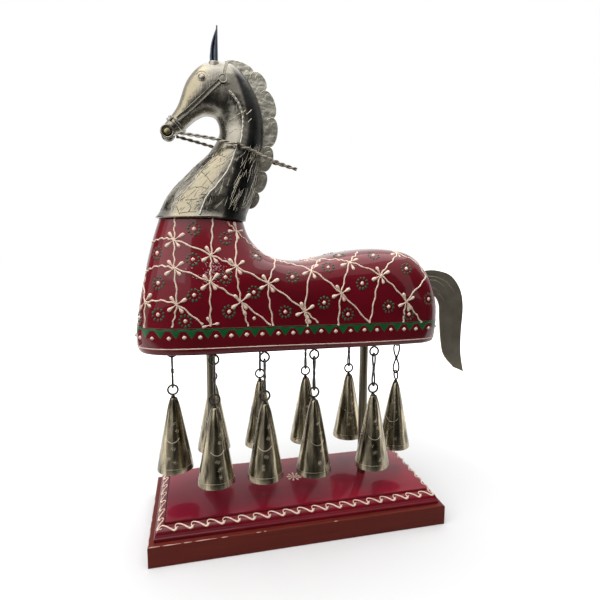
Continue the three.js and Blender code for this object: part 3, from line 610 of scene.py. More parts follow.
def scroll_stroke(middle, along, inward):
    """One S of the running scroll: a hook at its upper end, a sweep, and a fat curled foot."""
    points = [Vector(stop) for stop in SCROLL_OUTLINE]
    stroke = []
    for step in range(SCROLL_STEPS + 1):
        a, b, share = through(points, step / SCROLL_STEPS)
        spot = middle + along * a + inward * b
        above = Vector((spot.x, spot.y, RAY_START)) * MM
        place, _ = land(board_surface, above, Vector((0, 0, -1)))
        stroke.append((place, share))
    return stroke


strokes = []
ring_x = half_length - (BORDER_START + PANEL_INSET) / 2 + SCROLL_SHIFT
ring_y = half_width - (BORDER_START + PANEL_INSET) / 2 + SCROLL_SHIFT
for along, inward, reach, run in (
    (Vector((1, 0, 0)), Vector((0, 1, 0)), ring_y, ring_x),
    (Vector((0, 1, 0)), Vector((-1, 0, 0)), ring_x, ring_y),
    (Vector((-1, 0, 0)), Vector((0, -1, 0)), ring_y, ring_x),
    (Vector((0, -1, 0)), Vector((1, 0, 0)), ring_x, ring_y),
):
    copies = round(2 * run / SCROLL_PITCH)
    for i in range(copies):
        offset = -run + (i + 0.5) * 2 * run / copies
        strokes.append(scroll_stroke(-inward * reach + along * offset, along, inward))
scroll = draw_lines("border_scroll", strokes, SCROLL_WIDTH, cream_paint)
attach(scroll, "figurine")

petal = blob("petal", length=4.6, width=1.7, height=0.8, stem=0.6)
bead_of_paint = blob("bead_of_paint", length=2.0, width=2.0, height=0.8)
PANEL_FLOWER = Vector((0.6, 3.4, panel_top)) * MM
PANEL_PETALS = 9
PETAL_START = 1.2
petals = []
for i in range(PANEL_PETALS):
    angle = math.radians(360 / PANEL_PETALS * i + 12)
    outward = Vector((math.cos(angle), math.sin(angle), 0))
    petals.append((PANEL_FLOWER + outward * PETAL_START * MM, Vector((0, 0, 1)), outward, 1.0))
panel_petals = stamp("panel_flower", petal, petals, cream_paint)
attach(panel_petals, "figurine")
panel_eye = stamp("panel_flower_eye", bead_of_paint, [
    (PANEL_FLOWER, Vector((0, 0, 1)), Vector((1, 0, 0)), 1.0),
], cream_paint)
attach(panel_eye, "figurine")

# Painted edge highlight
# A pale line is painted along the plinth's upper edge as the highlight that edge catches, most
# of all at its near left corner.


def even_finish(name, colour, roughness, metallic=0.0):
    """A finish in one even colour."""
    made, _, shader = new_material(name)
    shader.inputs["Base Color"].default_value = linear(colour)
    shader.inputs["Roughness"].default_value = roughness
    shader.inputs["Metallic"].default_value = metallic
    return made


# A dull pink paint, a little glossy: a painted highlight on the edge.
edge_highlight_paint = even_finish("painted_edge_highlight", "d8b3a4", roughness=0.35)

EDGE_INSET = 0.35
EDGE_HIGHLIGHT_WIDTH = 0.6
# where each painted highlight starts and how long it is, in mm from the near left corner
EDGE_HIGHLIGHTS_IN_FRONT = (
    (0, 7), (8.5, 11), (21, 5), (28, 13), (44, 4), (66, 3), (71, 1.5), (118, 2.5),
)
EDGE_HIGHLIGHTS_AT_LEFT = ((1, 5), (9, 9), (27, 4), (46, 8))
edge_x = half_length - EDGE_INSET
edge_y = half_width - EDGE_INSET
edge_highlight_strokes = []
for start, run in EDGE_HIGHLIGHTS_IN_FRONT:
    edge_highlight_strokes.append([
        (Vector((-edge_x + start + run * t, -edge_y, plinth_high.z - EDGE_INSET)) * MM, share)
        for t, share in ((0, 0.3), (0.3, 1), (0.6, 0.7), (1, 0.3))
    ])
for start, run in EDGE_HIGHLIGHTS_AT_LEFT:
    edge_highlight_strokes.append([
        (Vector((-edge_x, -edge_y + start + run * t, plinth_high.z - EDGE_INSET)) * MM, share)
        for t, share in ((0, 0.3), (0.4, 0.9), (1, 0.3))
    ])
edge_highlight_lines = draw_lines("worn_plinth_edge", edge_highlight_strokes, EDGE_HIGHLIGHT_WIDTH, edge_highlight_paint, sides=6)
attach(edge_highlight_lines, "figurine")

# Posts
# Two plain rods of drawn steel, cut to length with a small bevel at each end. They are pushed into
# blind holes in the plinth and in the body, and carry the horse.

# Drawing leaves fine upright marks, so each rod shows soft streaks beside one broad highlight.
post_steel, tree, shader = new_material("drawn_steel_rod")
where = add(tree, "ShaderNodeTexCoord")
stretch = add(tree, "ShaderNodeMapping", {
    "Vector": where.outputs["Object"], "Scale": (1000 / 0.8, 1000 / 0.8, 1000 / 30),
})
draw_marks = add(tree, "ShaderNodeTexNoise", {
    "Vector": stretch.outputs[0], "Detail": 3.0, "Scale": 1.0,
})
steel = add(tree, "ShaderNodeMix", {
    "Factor": draw_marks.outputs[0], "A": linear("4a463b"), "B": linear("8f8874"),
}, data_type="RGBA")
tree.links.new(steel.outputs["Result"], shader.inputs["Base Color"])
shader.inputs["Metallic"].default_value = 1.0
shader.inputs["Roughness"].default_value = 0.33

ROD_BEVEL = 0.08  # as a share of the radius


def even_turn(count):
    """So many angles evenly round a circle, from 0."""
    return [2 * math.pi * j / count for j in range(count)]


def rod(name, low, high, radius, material, sides=40):
    """An upright round rod between two places, with a small bevel at each end."""
    bevel = radius * ROD_BEVEL
    rings = [
        (radius - bevel, low.z), (radius, low.z + bevel),
        (radius, high.z - bevel), (radius - bevel, high.z),
    ]
    vertices = [
        Vector((low.x + r * math.cos(a), low.y + r * math.sin(a), z))
        for r, z in rings for a in even_turn(sides)
    ]
    return make_piece(name, vertices, solid_faces(len(rings), sides), material)


for end in ("front", "rear"):
    low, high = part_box(f"post_{end}")
    middle = (low + high) / 2
    radius = (high.x - low.x) / 2
    post = rod(
        f"steel_post_{end}", Vector((middle.x, middle.y, low.z)),
        Vector((middle.x, middle.y, high.z)), radius, post_steel,
    )
    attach(post, "figurine")
    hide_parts(f"post_{end}")

# Body
# One block of wood, carved and sanded smooth: a deep chest that rises into the neck, a dipped back
# and a round rump, flat below. It has the same gloss lacquer as the board.
UNDERSIDE = 128.0  # height of the flat underside above the table, mm
NECK_SECTIONS = (
    # lower front x, z; upper back x, z; half width; squareness (2 is an ellipse)
    (-91.1, 85.5, -35.4, 85.5, 22.5, 2.1),
    (-84, 99.8, -28.5, 100.5, 20.6, 2),
    (-69.5, 115.8, -24.8, 118, 17.5, 1.9),
    (-56, 129.5, -22.6, 134, 14.6, 1.9),
    (-50.6, 141, -22.3, 148, 13, 1.9),
    (-53.2, 149.2, -27, 165.5, 13, 2),
    (-59, 150.6, -41, 182.6, 13, 2.1),
    (-64.5, 148.2, -58.5, 182.4, 12.4, 2.2),
    (-69.3, 144.2, -69.6, 172.4, 10.6, 2.2),
    (-74, 139.8, -77, 154.4, 8, 2.2),
    (-79, 137.2, -83.2, 146, 5.8, 2.2),
    (-83, 136.4, -86.6, 141.6, 3.6, 2.2),
)
BODY_SECTIONS = (
    (-94.2, 71.5, -32, 72.5, 24.5, 2.3),
    (-99.6, 50, -21.5, 61.8, 28.5, 2.6),
    (-104.6, 24, -8, 57.8, 31, 2.9),
    (-105.2, 1, 9, 57.7, 31, 3),
    (-94, -14, 25, 61.6, 31, 3),
    (-50, -16, 46, 64.9, 31, 3),
    (5, -16, 65, 65.2, 31, 3),
    (50, -15, 81.5, 61.8, 30.5, 3),
    (86, -14, 92, 52.3, 28.5, 2.8),
    (96.4, -9, 98.3, 39, 23.5, 2.6),
    (100.2, 0, 100.8, 26, 14, 2.3),
    (101.2, 11, 101.3, 15, 1.6, 2),
)
UNDERSIDE_ROUND = 3.0
SHELL_WALL = 1.0
STUMP_FIT = 0.4


def fine_sections(sections, count):
    """Evenly many smooth sections between the given ones: front, back, half width, squareness."""
    fronts = [Vector((s[0], s[1])) for s in sections]
    backs = [Vector((s[2], s[3])) for s in sections]
    widths = [Vector((s[4], s[5])) for s in sections]
    shares = [i / (count - 1) for i in range(count)]
    return [(through(fronts, t), through(backs, t), *through(widths, t)) for t in shares]


def section_point(section, angle, offset=0.0):
    """A point of a section's ring in mm. Angle 0 is at its back, half a turn at its front."""
    front, rear, half, square = section
    centre = (front + rear) / 2
    arm = (rear - front) / 2
    arm *= (arm.length + offset) / arm.length
    cos, sin = math.cos(angle), math.sin(angle)
    rise = math.copysign(abs(cos) ** (2 / square), cos)
    wide = math.copysign(abs(sin) ** (2 / square), sin) * (half + offset)
    spot = centre + arm * rise
    return Vector((spot.x, wide, spot.y))


def flatten(spot):
    """Cuts a point off at the flat underside, with a softened edge."""
    r = UNDERSIDE_ROUND
    if spot.z < -r:
        spot.z = 0
    elif spot.z < r:
        spot.z = (spot.z + r) ** 2 / (4 * r)
    return spot


BODY_RING = 96
STUMP_HEIGHT = 28
shrink = SHELL_WALL + STUMP_FIT
neck_lines = fine_sections(NECK_SECTIONS, 81)
rim = NECK_SECTIONS[0]
stump = [s for s in neck_lines if s[0].y < rim[1] + STUMP_HEIGHT]
shrunk_rim = (rim[0] + shrink, rim[1], rim[2] - shrink, rim[3], rim[4] - shrink, rim[5])
below_rim = fine_sections((shrunk_rim, *BODY_SECTIONS), 121)[1:]
rings = [[section_point(s, a, -shrink) for a in even_turn(BODY_RING)] for s in reversed(stump)]
rings += [[flatten(section_point(s, a)) for a in even_turn(BODY_RING)] for s in below_rim]


def lofted(name, rings, material, sharp=40):
    """A closed body through rings of points in mm above the underside."""
    vertices = [(p + Vector((0, 0, UNDERSIDE))) * MM for ring in rings for p in ring]
    faces = solid_faces(len(rings), len(rings[0]), flip=True)
    return make_piece(name, vertices, faces, material, sharp)


body = lofted("wooden_body", rings, gloss_red, sharp=50)
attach(body, "figurine")
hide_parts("body")

# Cone work on the body
# A lattice of raised cream lines squeezed from a paper cone over both sides, with a four-petalled
# flower where lines cross and a cream dot ringed with green in each gap. The lines waver as the
# hand moved.

# The same thick paint in a deep green, nearly black where it lies heavy.
ring_green = mottled(
    "dark_green_cone_paint", "14331c", "2b5534", patch_mm=5, detail=2.0, roughness=0.4)

body_surface = surface_of(body)
SIDES = {"near": -1, "far": 1}
FLOWERS = {
    # x and z on the body's side, mm; the turn of its four petals in degrees
    "a": (-80, 199.3, 0), "b": (-80.2, 182.3, 3), "c": (-79.3, 160.6, 0), "z": (-98.5, 161.3, 20),
    "d": (-58.2, 190.4, -3), "e": (-59.2, 174, 5), "g": (-41.7, 205, -30),
    "h": (-43.4, 183.1, -4), "i": (-40.6, 161.5, 2), "j": (-23.3, 172.4, -8),
    "k": (5.5, 180.3, -10), "l": (0.2, 154.4, -8), "m": (32.4, 185.2, -15),
    "n": (24.5, 165.4, -12), "o": (69.8, 191.1, -20), "p": (52.7, 176.6, -14),
    "q": (71.4, 158.6, -8),
}
LINES = (
    # the upright lines, front to rear, then the slanting ones
    ((-97.6, 179.8), (-99.3, 171), "z", (-99, 145.5)),
    ((-79.4, 213), "a", "b", "c", (-82.4, 146.5)),
    ((-56.7, 213), "d", "e", (-59.5, 146.7)),
    ("g", "h", "i", (-36.4, 145.9)),
    ((-16.6, 186.7), "j", (-20.6, 145.7)),
    ((14.2, 186.3), "k", "l", (2, 144.4)),
    ((40.9, 191.3), "m", "n", (22.8, 144.3)),
    ("o", "p", (44.7, 145.1)),
    ((88.5, 175.1), "q", (69.4, 144.4)),
    ((-93.8, 197.9), (-87.6, 200.1), "a", "d", "h", "j", "l", (8.9, 146.6)),
    ((-97.6, 179.9), (-90.1, 183.4), "b", "e", "i", (-22.2, 146.1)),
    ("z", (-89, 162.8), "c", (-64.2, 148)),
    ((-47.8, 210.5), "g", (-31.3, 195.6), (-17.5, 186.9), (-8.5, 184.5), "k", "n", (44.7, 145.1)),
    ((5.1, 185.3), (22.8, 186.9), "m", "p", "q", (83.5, 143.7)),
    ("o", (82.7, 184.2), (88.5, 175.1)),
)
ROSETTES = (
    (-68.2, 206.1), (-49, 200.4), (-90.5, 191.1), (-69.1, 187.7), (-50, 176.9), (-29.8, 189.3),
    (-90, 173.2), (-68.9, 166.3), (-32.6, 167.2), (-7.4, 176.2), (-90.5, 154.2), (-74.5, 150.3),
    (-48.1, 155.4), (-12.8, 154.3), (17.1, 182.1), (50.6, 189.6), (12.9, 159.6), (39.1, 171.6),
    (29.3, 151.4), (72.4, 180.8), (58.1, 155.6), (88.9, 159.7), (73.5, 149.8), (-102.4, 150.9),
    (27.9, 189.3),
)
LINE_WIDTH = 1.05
WAVE_LENGTH = 7.5
WAVE_REACH = 0.34
DRAW_STEP = 0.8


def from_side(surface, side):
    """Puts flat points, x and z in mm, on a surface as one side sees it, with outward there."""
    return lambda x, z: land(
        surface, Vector((x, side * RAY_START, z)) * MM, Vector((0, -side, 0)))


def hand_drawn(flat_points, fall, seed, wave=WAVE_REACH, blobs=True, width=1.0):
    """A wavering stroke through flat points. Fall puts a flat point on the surface."""
    wobble = random.Random(seed)
    phase = wobble.uniform(0, 2 * math.pi)
    corners = [Vector(p) for p in flat_points]
    reach = sum((b - a).length for a, b in zip(corners, corners[1:]))
    count = max(8, round(reach / DRAW_STEP))
    stroke = []
    for i in range(count + 1):
        t = i / count
        here = through(corners, t)
        ahead = through(corners, min(1, t + 0.002)) - through(corners, max(0, t - 0.002))
        across = Vector((-ahead.y, ahead.x)).normalized()
        along = t * reach
        calm = min(1, along / 2, (reach - along) / 2)
        sway = math.sin(2 * math.pi * along / WAVE_LENGTH + phase + 0.8 * math.sin(along / 5))
        here = here + across * sway * wave * calm
        place, _ = fall(here.x, here.y)
        end = min(along, reach - along)
        blob_share = 0.45 * max(0, 1 - end / 1.6) if blobs else 0
        swell = 1 + 0.14 * math.sin(along * 1.9 + phase) + blob_share
        stroke.append((place, swell * width))
    return stroke


def spot_of(stop):
    """A line's stop: a flower's letter or a place of its own."""
    return FLOWERS[stop][:2] if isinstance(stop, str) else stop


def petal_at(x, z, degrees, size, fall):
    """Where a petal starts, seen from the side, and which way it runs over the surface."""
    angle = math.radians(degrees)
    heading = Vector((math.cos(angle), 0, math.sin(angle)))
    centre, _ = fall(x, z)
    tip, _ = fall(x + 6 * size * heading.x, z + 6 * size * heading.z)
    tangent = (tip - centre).normalized()
    lift = fall(*((centre + tip) / 2 / MM).xz)[1]
    return centre, (lift - tangent * lift.dot(tangent)).normalized(), tangent, size


drop = blob("drop", length=7.2, width=2.6, height=1.2, stem=0.75)
cream_bead = blob("cream_bead", length=2.9, width=2.9, height=1.2)
green_bead = blob("green_bead", length=2.2, width=1.75, height=0.6)
# petals of a flower: direction in degrees and size
PETALS = ((129, 0.9), (34, 1.0), (214, 1.0), (-54, 0.88))
RING_BEADS = 10
RING_SPREAD = (3.4, 3.7)
MIDDLE_GAP = 4  # no bead is nearer than this to the middle plane, mm
LONE_BEAD = (-32.6, 150.8)
HALF_FLOWERS = (
    # loose petals at the foot of a line: x, z, direction, size
    (-59.5, 147.6, 112, 0.75), (-59.5, 147.6, 8, 0.75), (-59.5, 147.6, 196, 0.75),
    (-40.6, 159, -66, 0.95), (0.6, 152, -62, 0.95), (71.8, 157, -75, 0.75),
)
for hand, side in SIDES.items():
    beside = from_side(body_surface, side)
    strokes = [
        hand_drawn([spot_of(stop) for stop in line], beside, 10 * i + side)
        for i, line in enumerate(LINES)
    ]
    lattice = draw_lines(f"cone_work_lines_{hand}", strokes, LINE_WIDTH, cream_paint)
    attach(lattice, "figurine")

    petals = []
    for letter, (x, z, twist) in FLOWERS.items():
        chance = random.Random(ord(letter))
        for base, size in PETALS:
            angle = base + twist + chance.uniform(-6, 6)
            petals.append(petal_at(x, z, angle, size * chance.uniform(0.94, 1.06), beside))
    petals += [petal_at(*loose, beside) for loose in HALF_FLOWERS]
    flowers = stamp(f"cone_work_petals_{hand}", drop, petals, cream_paint)
    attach(flowers, "figurine")

    beads, rings = [], []
    for i, (x, z) in enumerate(ROSETTES):
        chance = random.Random(i)
        centre, outward = beside(x, z)
        level_way = Vector((1, 0, 0)) - outward * outward.x
        level_way.normalize()
        rise = outward.cross(level_way)
        beads.append((centre, outward, level_way, chance.uniform(0.9, 1.05)))
        start = chance.uniform(0, 1)
        for j in range(RING_BEADS):
            angle = 2 * math.pi * (j + start) / RING_BEADS
            spread = chance.uniform(*RING_SPREAD) * MM
            aim = centre + (level_way * math.cos(angle) + rise * math.sin(angle)) * spread
            if side * aim.y < MIDDLE_GAP * MM:
                continue
            place, up_there = beside(aim.x / MM, aim.z / MM)
            spoke = (aim - centre).normalized()
            rings.append((place, up_there, spoke, chance.uniform(0.8, 1.2)))
    beads.append((*beside(*LONE_BEAD), Vector((1, 0, 0)), 0.9))
    dots = stamp(f"cream_beads_{hand}", cream_bead, beads, cream_paint)
    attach(dots, "figurine")
    ring_dots = stamp(f"green_beads_{hand}", green_bead, rings, ring_green)
    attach(ring_dots, "figurine")

# Scuffs
# Old knocks have scratched the clear coat at the near shoulder. They are short fine strokes in one
# slanting direction, close together in the middle and thin at their ends.

# Scratched clear coat turns white and dull, so the marks read as a pale pink haze.
scuffed = even_finish("scuffed_lacquer", "dfc3c7", roughness=0.6)

SCUFFS = 150
SCUFF_MIDDLE = (-57, 181)
SCUFF_SPREAD = (5.5, 4.5)
SCUFF_WIDTH = 0.32
chance = random.Random(7)
near_side = from_side(body_surface, SIDES["near"])
scuffs = []
for _ in range(SCUFFS):
    x, z = (middle + chance.gauss(0, far) for middle, far in zip(SCUFF_MIDDLE, SCUFF_SPREAD))
    heading = Vector((1, -0.6)) * chance.uniform(0.15, 0.7)
    scuffs.append([
        (near_side(x + heading.x * t, z + heading.y * t)[0], 1 - 0.6 * abs(t))
        for t in (-1, -0.3, 0.3, 1)
    ])
scuff_marks = draw_lines("scuff_marks", scuffs, SCUFF_WIDTH, scuffed, sides=4)
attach(scuff_marks, "figurine")

# Green band
# A stripe of green enamel is brushed right round the body, with pointed teeth that reach down
# between cream dots. A cream line closes it below and a thin dark green one above.

# Enamel flows out smooth, so it shines a little more than the cone paint and hides brush marks.
leaf_green = mottled(
    "green_enamel_paint", "074d24", "0b6d37", patch_mm=4, detail=3.0, roughness=0.35)

# The band's length is measured along a flat-sided oval inside the body.
FRONT_CENTRE_X = -74.0
REAR_CENTRE_X = 70.0
OVAL_RADIUS = 31.0
BAND_RAY_START = 90
QUARTER = OVAL_RADIUS * math.pi / 2
HALF_ROUND = 2 * QUARTER + REAR_CENTRE_X - FRONT_CENTRE_X


def round_body(s, z, side):
    """The surface at a run s in mm from the breast's middle towards the rump's, and outward."""
    if s < QUARTER:
        angle = s / OVAL_RADIUS
        centre, out = FRONT_CENTRE_X, Vector((-math.cos(angle), side * math.sin(angle), 0))
    elif s < HALF_ROUND - QUARTER:
        centre, out = FRONT_CENTRE_X + s - QUARTER, Vector((0, side, 0))
    else:
        angle = (HALF_ROUND - s) / OVAL_RADIUS
        centre, out = REAR_CENTRE_X, Vector((math.cos(angle), side * math.sin(angle), 0))
    origin = Vector((centre, 0, z)) * MM + out * BAND_RAY_START * MM
    return land(body_surface, origin, -out)


BAND_TOP = 145.5
BAND_FALL = 1.5


def band_top(s):
    """The height of the band's upper edge, which falls a little towards the rump."""
    return BAND_TOP - BAND_FALL * s / HALF_ROUND


BAND_STRIPE = 1.5
TOOTH_LENGTH = 5.6
TOOTH_WIDTH = 6.6
TOOTH_PITCH = 9.73
DOT_START = 7.9
DOT_HEIGHT = 138.4
LOW_LINE_HEIGHT = 132
LOW_LINE_WIDTH = 0.75
TOP_LINE_WIDTH = 0.45
LINE_STEPS = 240
BAND_STEPS = 640
BAND_ROWS = 5
SKIN = 0.12
BURIED = -0.1


def tooth_depth(s):
    """How far the band reaches down at a run s: a stripe with pointed teeth between the dots."""
    share = abs(((s - DOT_START) / TOOTH_PITCH) % 1 - 0.5)
    return BAND_STRIPE + TOOTH_LENGTH * max(0, 1 - share * TOOTH_PITCH / (TOOTH_WIDTH / 2))


def sheet_faces(rows, corners, flip):
    """The faces of an open sheet of rows of corners. Flip turns them over."""
    faces = []
    for i in range(rows - 1):
        for j in range(corners - 1):
            a = i * corners + j
            quad = (a, a + 1, a + corners + 1, a + corners)
            faces.append(tuple(reversed(quad)) if flip else quad)
    return faces


for hand, side in SIDES.items():
    vertices = []
    for i in range(BAND_STEPS + 1):
        s = HALF_ROUND * i / BAND_STEPS
        for row in range(BAND_ROWS):
            height = band_top(s) - tooth_depth(s) * row / (BAND_ROWS - 1)
            place, outward = round_body(s, height, side)
            at_edge = row in (0, BAND_ROWS - 1)
            vertices.append(place + outward * (BURIED if at_edge else SKIN) * MM)
    faces = sheet_faces(BAND_STEPS + 1, BAND_ROWS, flip=side > 0)
    band = make_piece(f"green_band_{hand}", vertices, faces, leaf_green, sharp=80)
    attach(band, "figurine")

    beads = []
    for i in range(int((HALF_ROUND - DOT_START) / TOOTH_PITCH) + 1):
        chance = random.Random(100 + i)
        s = DOT_START + TOOTH_PITCH * i + chance.uniform(-0.5, 0.5)
        rise = math.sin(math.pi * s / HALF_ROUND)
        height = DOT_HEIGHT + 2.2 * rise + chance.uniform(-0.3, 0.3)
        place, outward = round_body(s, height, side)
        beads.append((place, outward, Vector((0, 0, 1)), chance.uniform(0.9, 1.06)))
    band_beads = stamp(f"band_beads_{hand}", cream_bead, beads, cream_paint)
    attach(band_beads, "figurine")

    low_line, top_line = [], []
    for s in (HALF_ROUND * i / LINE_STEPS for i in range(LINE_STEPS + 1)):
        low_line.append((round_body(s, LOW_LINE_HEIGHT + 0.5 * math.sin(s / 40), side)[0], 1.0))
        top_line.append((round_body(s, band_top(s) + 0.2, side)[0], 1.0))
    edge_lines = draw_lines(
        f"band_lines_{hand}", [low_line], LOW_LINE_WIDTH, cream_paint, sides=6)
    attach(edge_lines, "figurine")
    fine_line = draw_lines(f"band_edge_{hand}", [top_line], TOP_LINE_WIDTH, ring_green, sides=6)
    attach(fine_line, "figurine")
for motif in (petal, bead_of_paint, drop, cream_bead, green_bead):
    bpy.data.objects.remove(motif)

# Neck and head
# Two halves pressed from white-metal sheet and soldered along the middle, hollow down to an open
# rim that stands proud of the wooden breast. Hand chasing, a solder ridge and old polish show.

# Rubbed white metal throws blurred reflections with fine upright marks. A warm painted reflection
# lies on the breast and the nose, and a nearly black painted reflection lies behind the ridge.
bright_sheet, tree, shader = new_material("polished_white_metal_sheet")
where = add(tree, "ShaderNodeTexCoord")
patina = add(tree, "ShaderNodeAttribute", attribute_name="patina")
warmth = add(tree, "ShaderNodeAttribute", attribute_name="warmth")
cloud = add(tree, "ShaderNodeTexNoise", {
    "Vector": where.outputs["Object"], "Scale": 1000 / 9, "Detail": 5.0,
})
silver = add(tree, "ShaderNodeMix", {
    "Factor": cloud.outputs[0], "A": linear("57534e"), "B": linear("9f9a8d"),
}, data_type="RGBA")
warm_reflected_tone = add(tree, "ShaderNodeMix", {
    "Factor": warmth.outputs["Fac"], "A": silver.outputs["Result"], "B": linear("887f6a"),
}, data_type="RGBA")
dark_reflected_back = add(tree, "ShaderNodeMix", {
    "Factor": patina.outputs["Fac"], "A": warm_reflected_tone.outputs["Result"], "B": linear("191a1d"),
}, data_type="RGBA")
tree.links.new(dark_reflected_back.outputs["Result"], shader.inputs["Base Color"])
shader.inputs["Metallic"].default_value = 1.0
dull = add(tree, "ShaderNodeMapRange", {
    "Value": cloud.outputs[0], "From Min": 0.35, "From Max": 0.7, "To Min": 0.2, "To Max": 0.38,
})
tree.links.new(dull.outputs[0], shader.inputs["Roughness"])
stretch = add(tree, "ShaderNodeMapping", {
    "Vector": where.outputs["Object"], "Scale": (1000 / 0.5, 1000 / 0.5, 1000 / 5),
})
brushing = add(tree, "ShaderNodeTexNoise", {
    "Vector": stretch.outputs[0], "Scale": 1.0, "Detail": 3.0,
})
dents = add(tree, "ShaderNodeTexNoise", {
    "Vector": where.outputs["Object"], "Scale": 1000 / 9, "Detail": 2.0,
})
uneven = add(tree, "ShaderNodeMath", {
    0: dents.outputs[0], 1: 6.0, 2: brushing.outputs[0],
}, operation="MULTIPLY_ADD")
beaten = add(tree, "ShaderNodeBump", {
    "Height": uneven.outputs[0], "Strength": 0.6, "Distance": 0.18 * MM,
})
tree.links.new(beaten.outputs[0], shader.inputs["Normal"])

# The burr and the floor of a graver's cut are fresh metal, which glints in thin light lines.
bright_cut = even_finish("bright_cut_metal", "c6beaa", roughness=0.3, metallic=1.0)

# Tin solder is softer and greyer than the sheet, and is rubbed bright where it stands proud.
soft_solder = even_finish("polished_soft_solder", "a5a196", roughness=0.34, metallic=1.0)

# Old polish and tarnish stay in the deeper lines and make them dull and dark.
dark_cut = even_finish("tarnish_in_chased_lines", "2c2a27", roughness=0.6, metallic=0.6)

RIDGE = (
    (-45.4, 291.7), (-41.1, 287.2), (-37.8, 281.1), (-36.5, 274.1), (-37.2, 267.5), (-38.5, 260.2),
    (-42.1, 254.4), (-45.8, 244.6), (-54.3, 232.5), (-59.1, 227.2), (-62.2, 221.1), (-64.4, 215.1),
)
DARK_EDGE = (
    (-46, 312), (-40.2, 299.1), (-36.6, 287.8), (-33.4, 273.4), (-34.1, 265), (-35.9, 258.7),
    (-40.7, 250.5), (-44.9, 239.2), (-49, 228), (-51, 213),
)
BREAST_CREASE = (
    (-53.5, 256), (-56.7, 249.6), (-62.9, 243.2), (-67.8, 235.1), (-72.5, 229.8), (-76.9, 223.7),
    (-79.5, 217.6),
)
NOSE_CREASE = ((-58, 307), (-58.5, 299), (-63.5, 290), (-71, 280), (-77.5, 274))
SEAM = 0.3
SHEET_RING = 56
SHEET_STEPS = 190
RIM_FLARE = 1.1
RIM_DIP = 1.8
RIDGE_WIDTH = 1.6
CHASING_WIDTH = 0.42
GRAVER_MARKS = 300
HAIR_MARKS = 95
rim_height = NECK_SECTIONS[0][1]


def edge_at(line, z):
    """The x of a listed line at a height."""
    rows = sorted(((row[1], row[0]) for row in line))
    for (z0, x0), (z1, x1) in zip(rows, rows[1:]):
        if z <= z1:
            return x0 + (x1 - x0) * (z - z0) / (z1 - z0)
    return rows[-1][1]


def soft_step(value, start, end):
    """Rises smoothly from 0 at the start to 1 at the end."""
    t = min(1, max(0, (value - start) / (end - start)))
    return t * t * (3 - 2 * t)


head_sections = fine_sections(NECK_SECTIONS, SHEET_STEPS)
neck_surfaces = {}
for hand, side in SIDES.items():
    vertices, dark_reflection_shares, warm_reflection_shares = [], [], []
    for section in head_sections:
        for j in range(SHEET_RING + 1):
            spot = section_point(section, math.pi * j / SHEET_RING)
            above = spot.z - rim_height
            flare = RIM_FLARE * max(0, 1 - above / 5) ** 2
            spot = section_point(section, math.pi * j / SHEET_RING, flare)
            spot.z -= RIM_DIP * max(0, 1 - above / 9) * soft_step(spot.x, -58, -34)
            spot.y = side * max(abs(spot.y), SEAM / 2)
            spot.z += UNDERSIDE
            vertices.append(spot * MM)
            # the painted dark reflection reaches up to the poll at the back of the neck, and up to
            # the jaw in front
            if spot.x > -50:
                on_neck = 1 - soft_step(spot.z, 300, 312)
            else:
                on_neck = 1 - soft_step(spot.z, 262, 270)
            behind = soft_step(spot.x - edge_at(DARK_EDGE, spot.z), -0.8, 1.6)
            dark_reflection_shares.append(0.93 * behind * on_neck)
            # a painted warm reflection on the breast's front face up to the ridge, and on the nose
            front_face = soft_step(spot.x - edge_at(BREAST_CREASE, spot.z), -1, 1)
            until_ridge = 1 - soft_step(spot.x - edge_at(RIDGE, spot.z), -6, 0)
            on_breast = front_face * until_ridge * (1 - soft_step(spot.z, 250, 268))
            on_nose = 1 - soft_step(spot.x - edge_at(NOSE_CREASE, spot.z), -3, 2)
            on_nose *= soft_step(spot.z, 268, 276)
            warm_reflection_shares.append(max(0.75 * on_breast, 0.85 * on_nose))
    row = SHEET_RING + 1
    faces = sheet_faces(SHEET_STEPS, row, flip=side < 0)
    tip = tuple((SHEET_STEPS - 1) * row + j for j in range(row))
    faces.append(tip if side > 0 else tuple(reversed(tip)))
    half_shell = make_piece(f"neck_half_{hand}", vertices, faces, bright_sheet, sharp=60)
    for label, values in (("patina", dark_reflection_shares), ("warmth", warm_reflection_shares)):
        half_shell.data.attributes.new(label, "FLOAT", "POINT").data.foreach_set("value", values)
    neck_surfaces[hand] = surface_of(half_shell)
    wall = half_shell.modifiers.new("sheet", "SOLIDIFY")
    wall.thickness = SHELL_WALL * MM
    wall.offset = -1
    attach(half_shell, "figurine")
    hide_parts("neck_shell_left" if side < 0 else "neck_shell_right")


CHASED = (
    # veins, leaves and scrolls chased into the breast, then tool marks beside the ridge
    ((-62.9, 241.8), (-58.8, 237.2), (-56, 233.3), (-53.9, 230.8)),
    ((-66.4, 231.5), (-62.8, 231.9), (-60.3, 230.9)),
    ((-72.6, 223.7), (-69.4, 223.9), (-65.8, 224.6)),
    ((-72, 222.2), (-69.6, 219.5), (-71.2, 216.4)),
    ((-77, 224), (-78.2, 220), (-76.4, 215)),
    ((-76, 215.8), (-70, 216.4), (-66.8, 216.6)),
    ((-63.6, 227.2), (-60.7, 227.3)),
    ((-64.4, 224.9), (-61.6, 225.2)),
    ((-66.2, 222.8), (-63.5, 223.3)),
    ((-66.6, 220.6), (-64.2, 221)),
    ((-58.6, 228.4), (-57, 225.8)),
    ((-58.4, 221), (-55.4, 220.4)),
    ((-57.4, 250.6), (-52.4, 252.4), (-48, 251)),
)
BRIGHT_CUTS = (
    # slips of the graver over the ridge
    ((-46, 273.7), (-40, 277.5), (-35, 280.6)), ((-34.3, 278.2), (-32.6, 280), (-31, 281.6)),
    ((-47, 265), (-42, 268.6), (-36.5, 269.6)), ((-33.5, 273.5), (-32.4, 274.8), (-31.2, 276)),
)
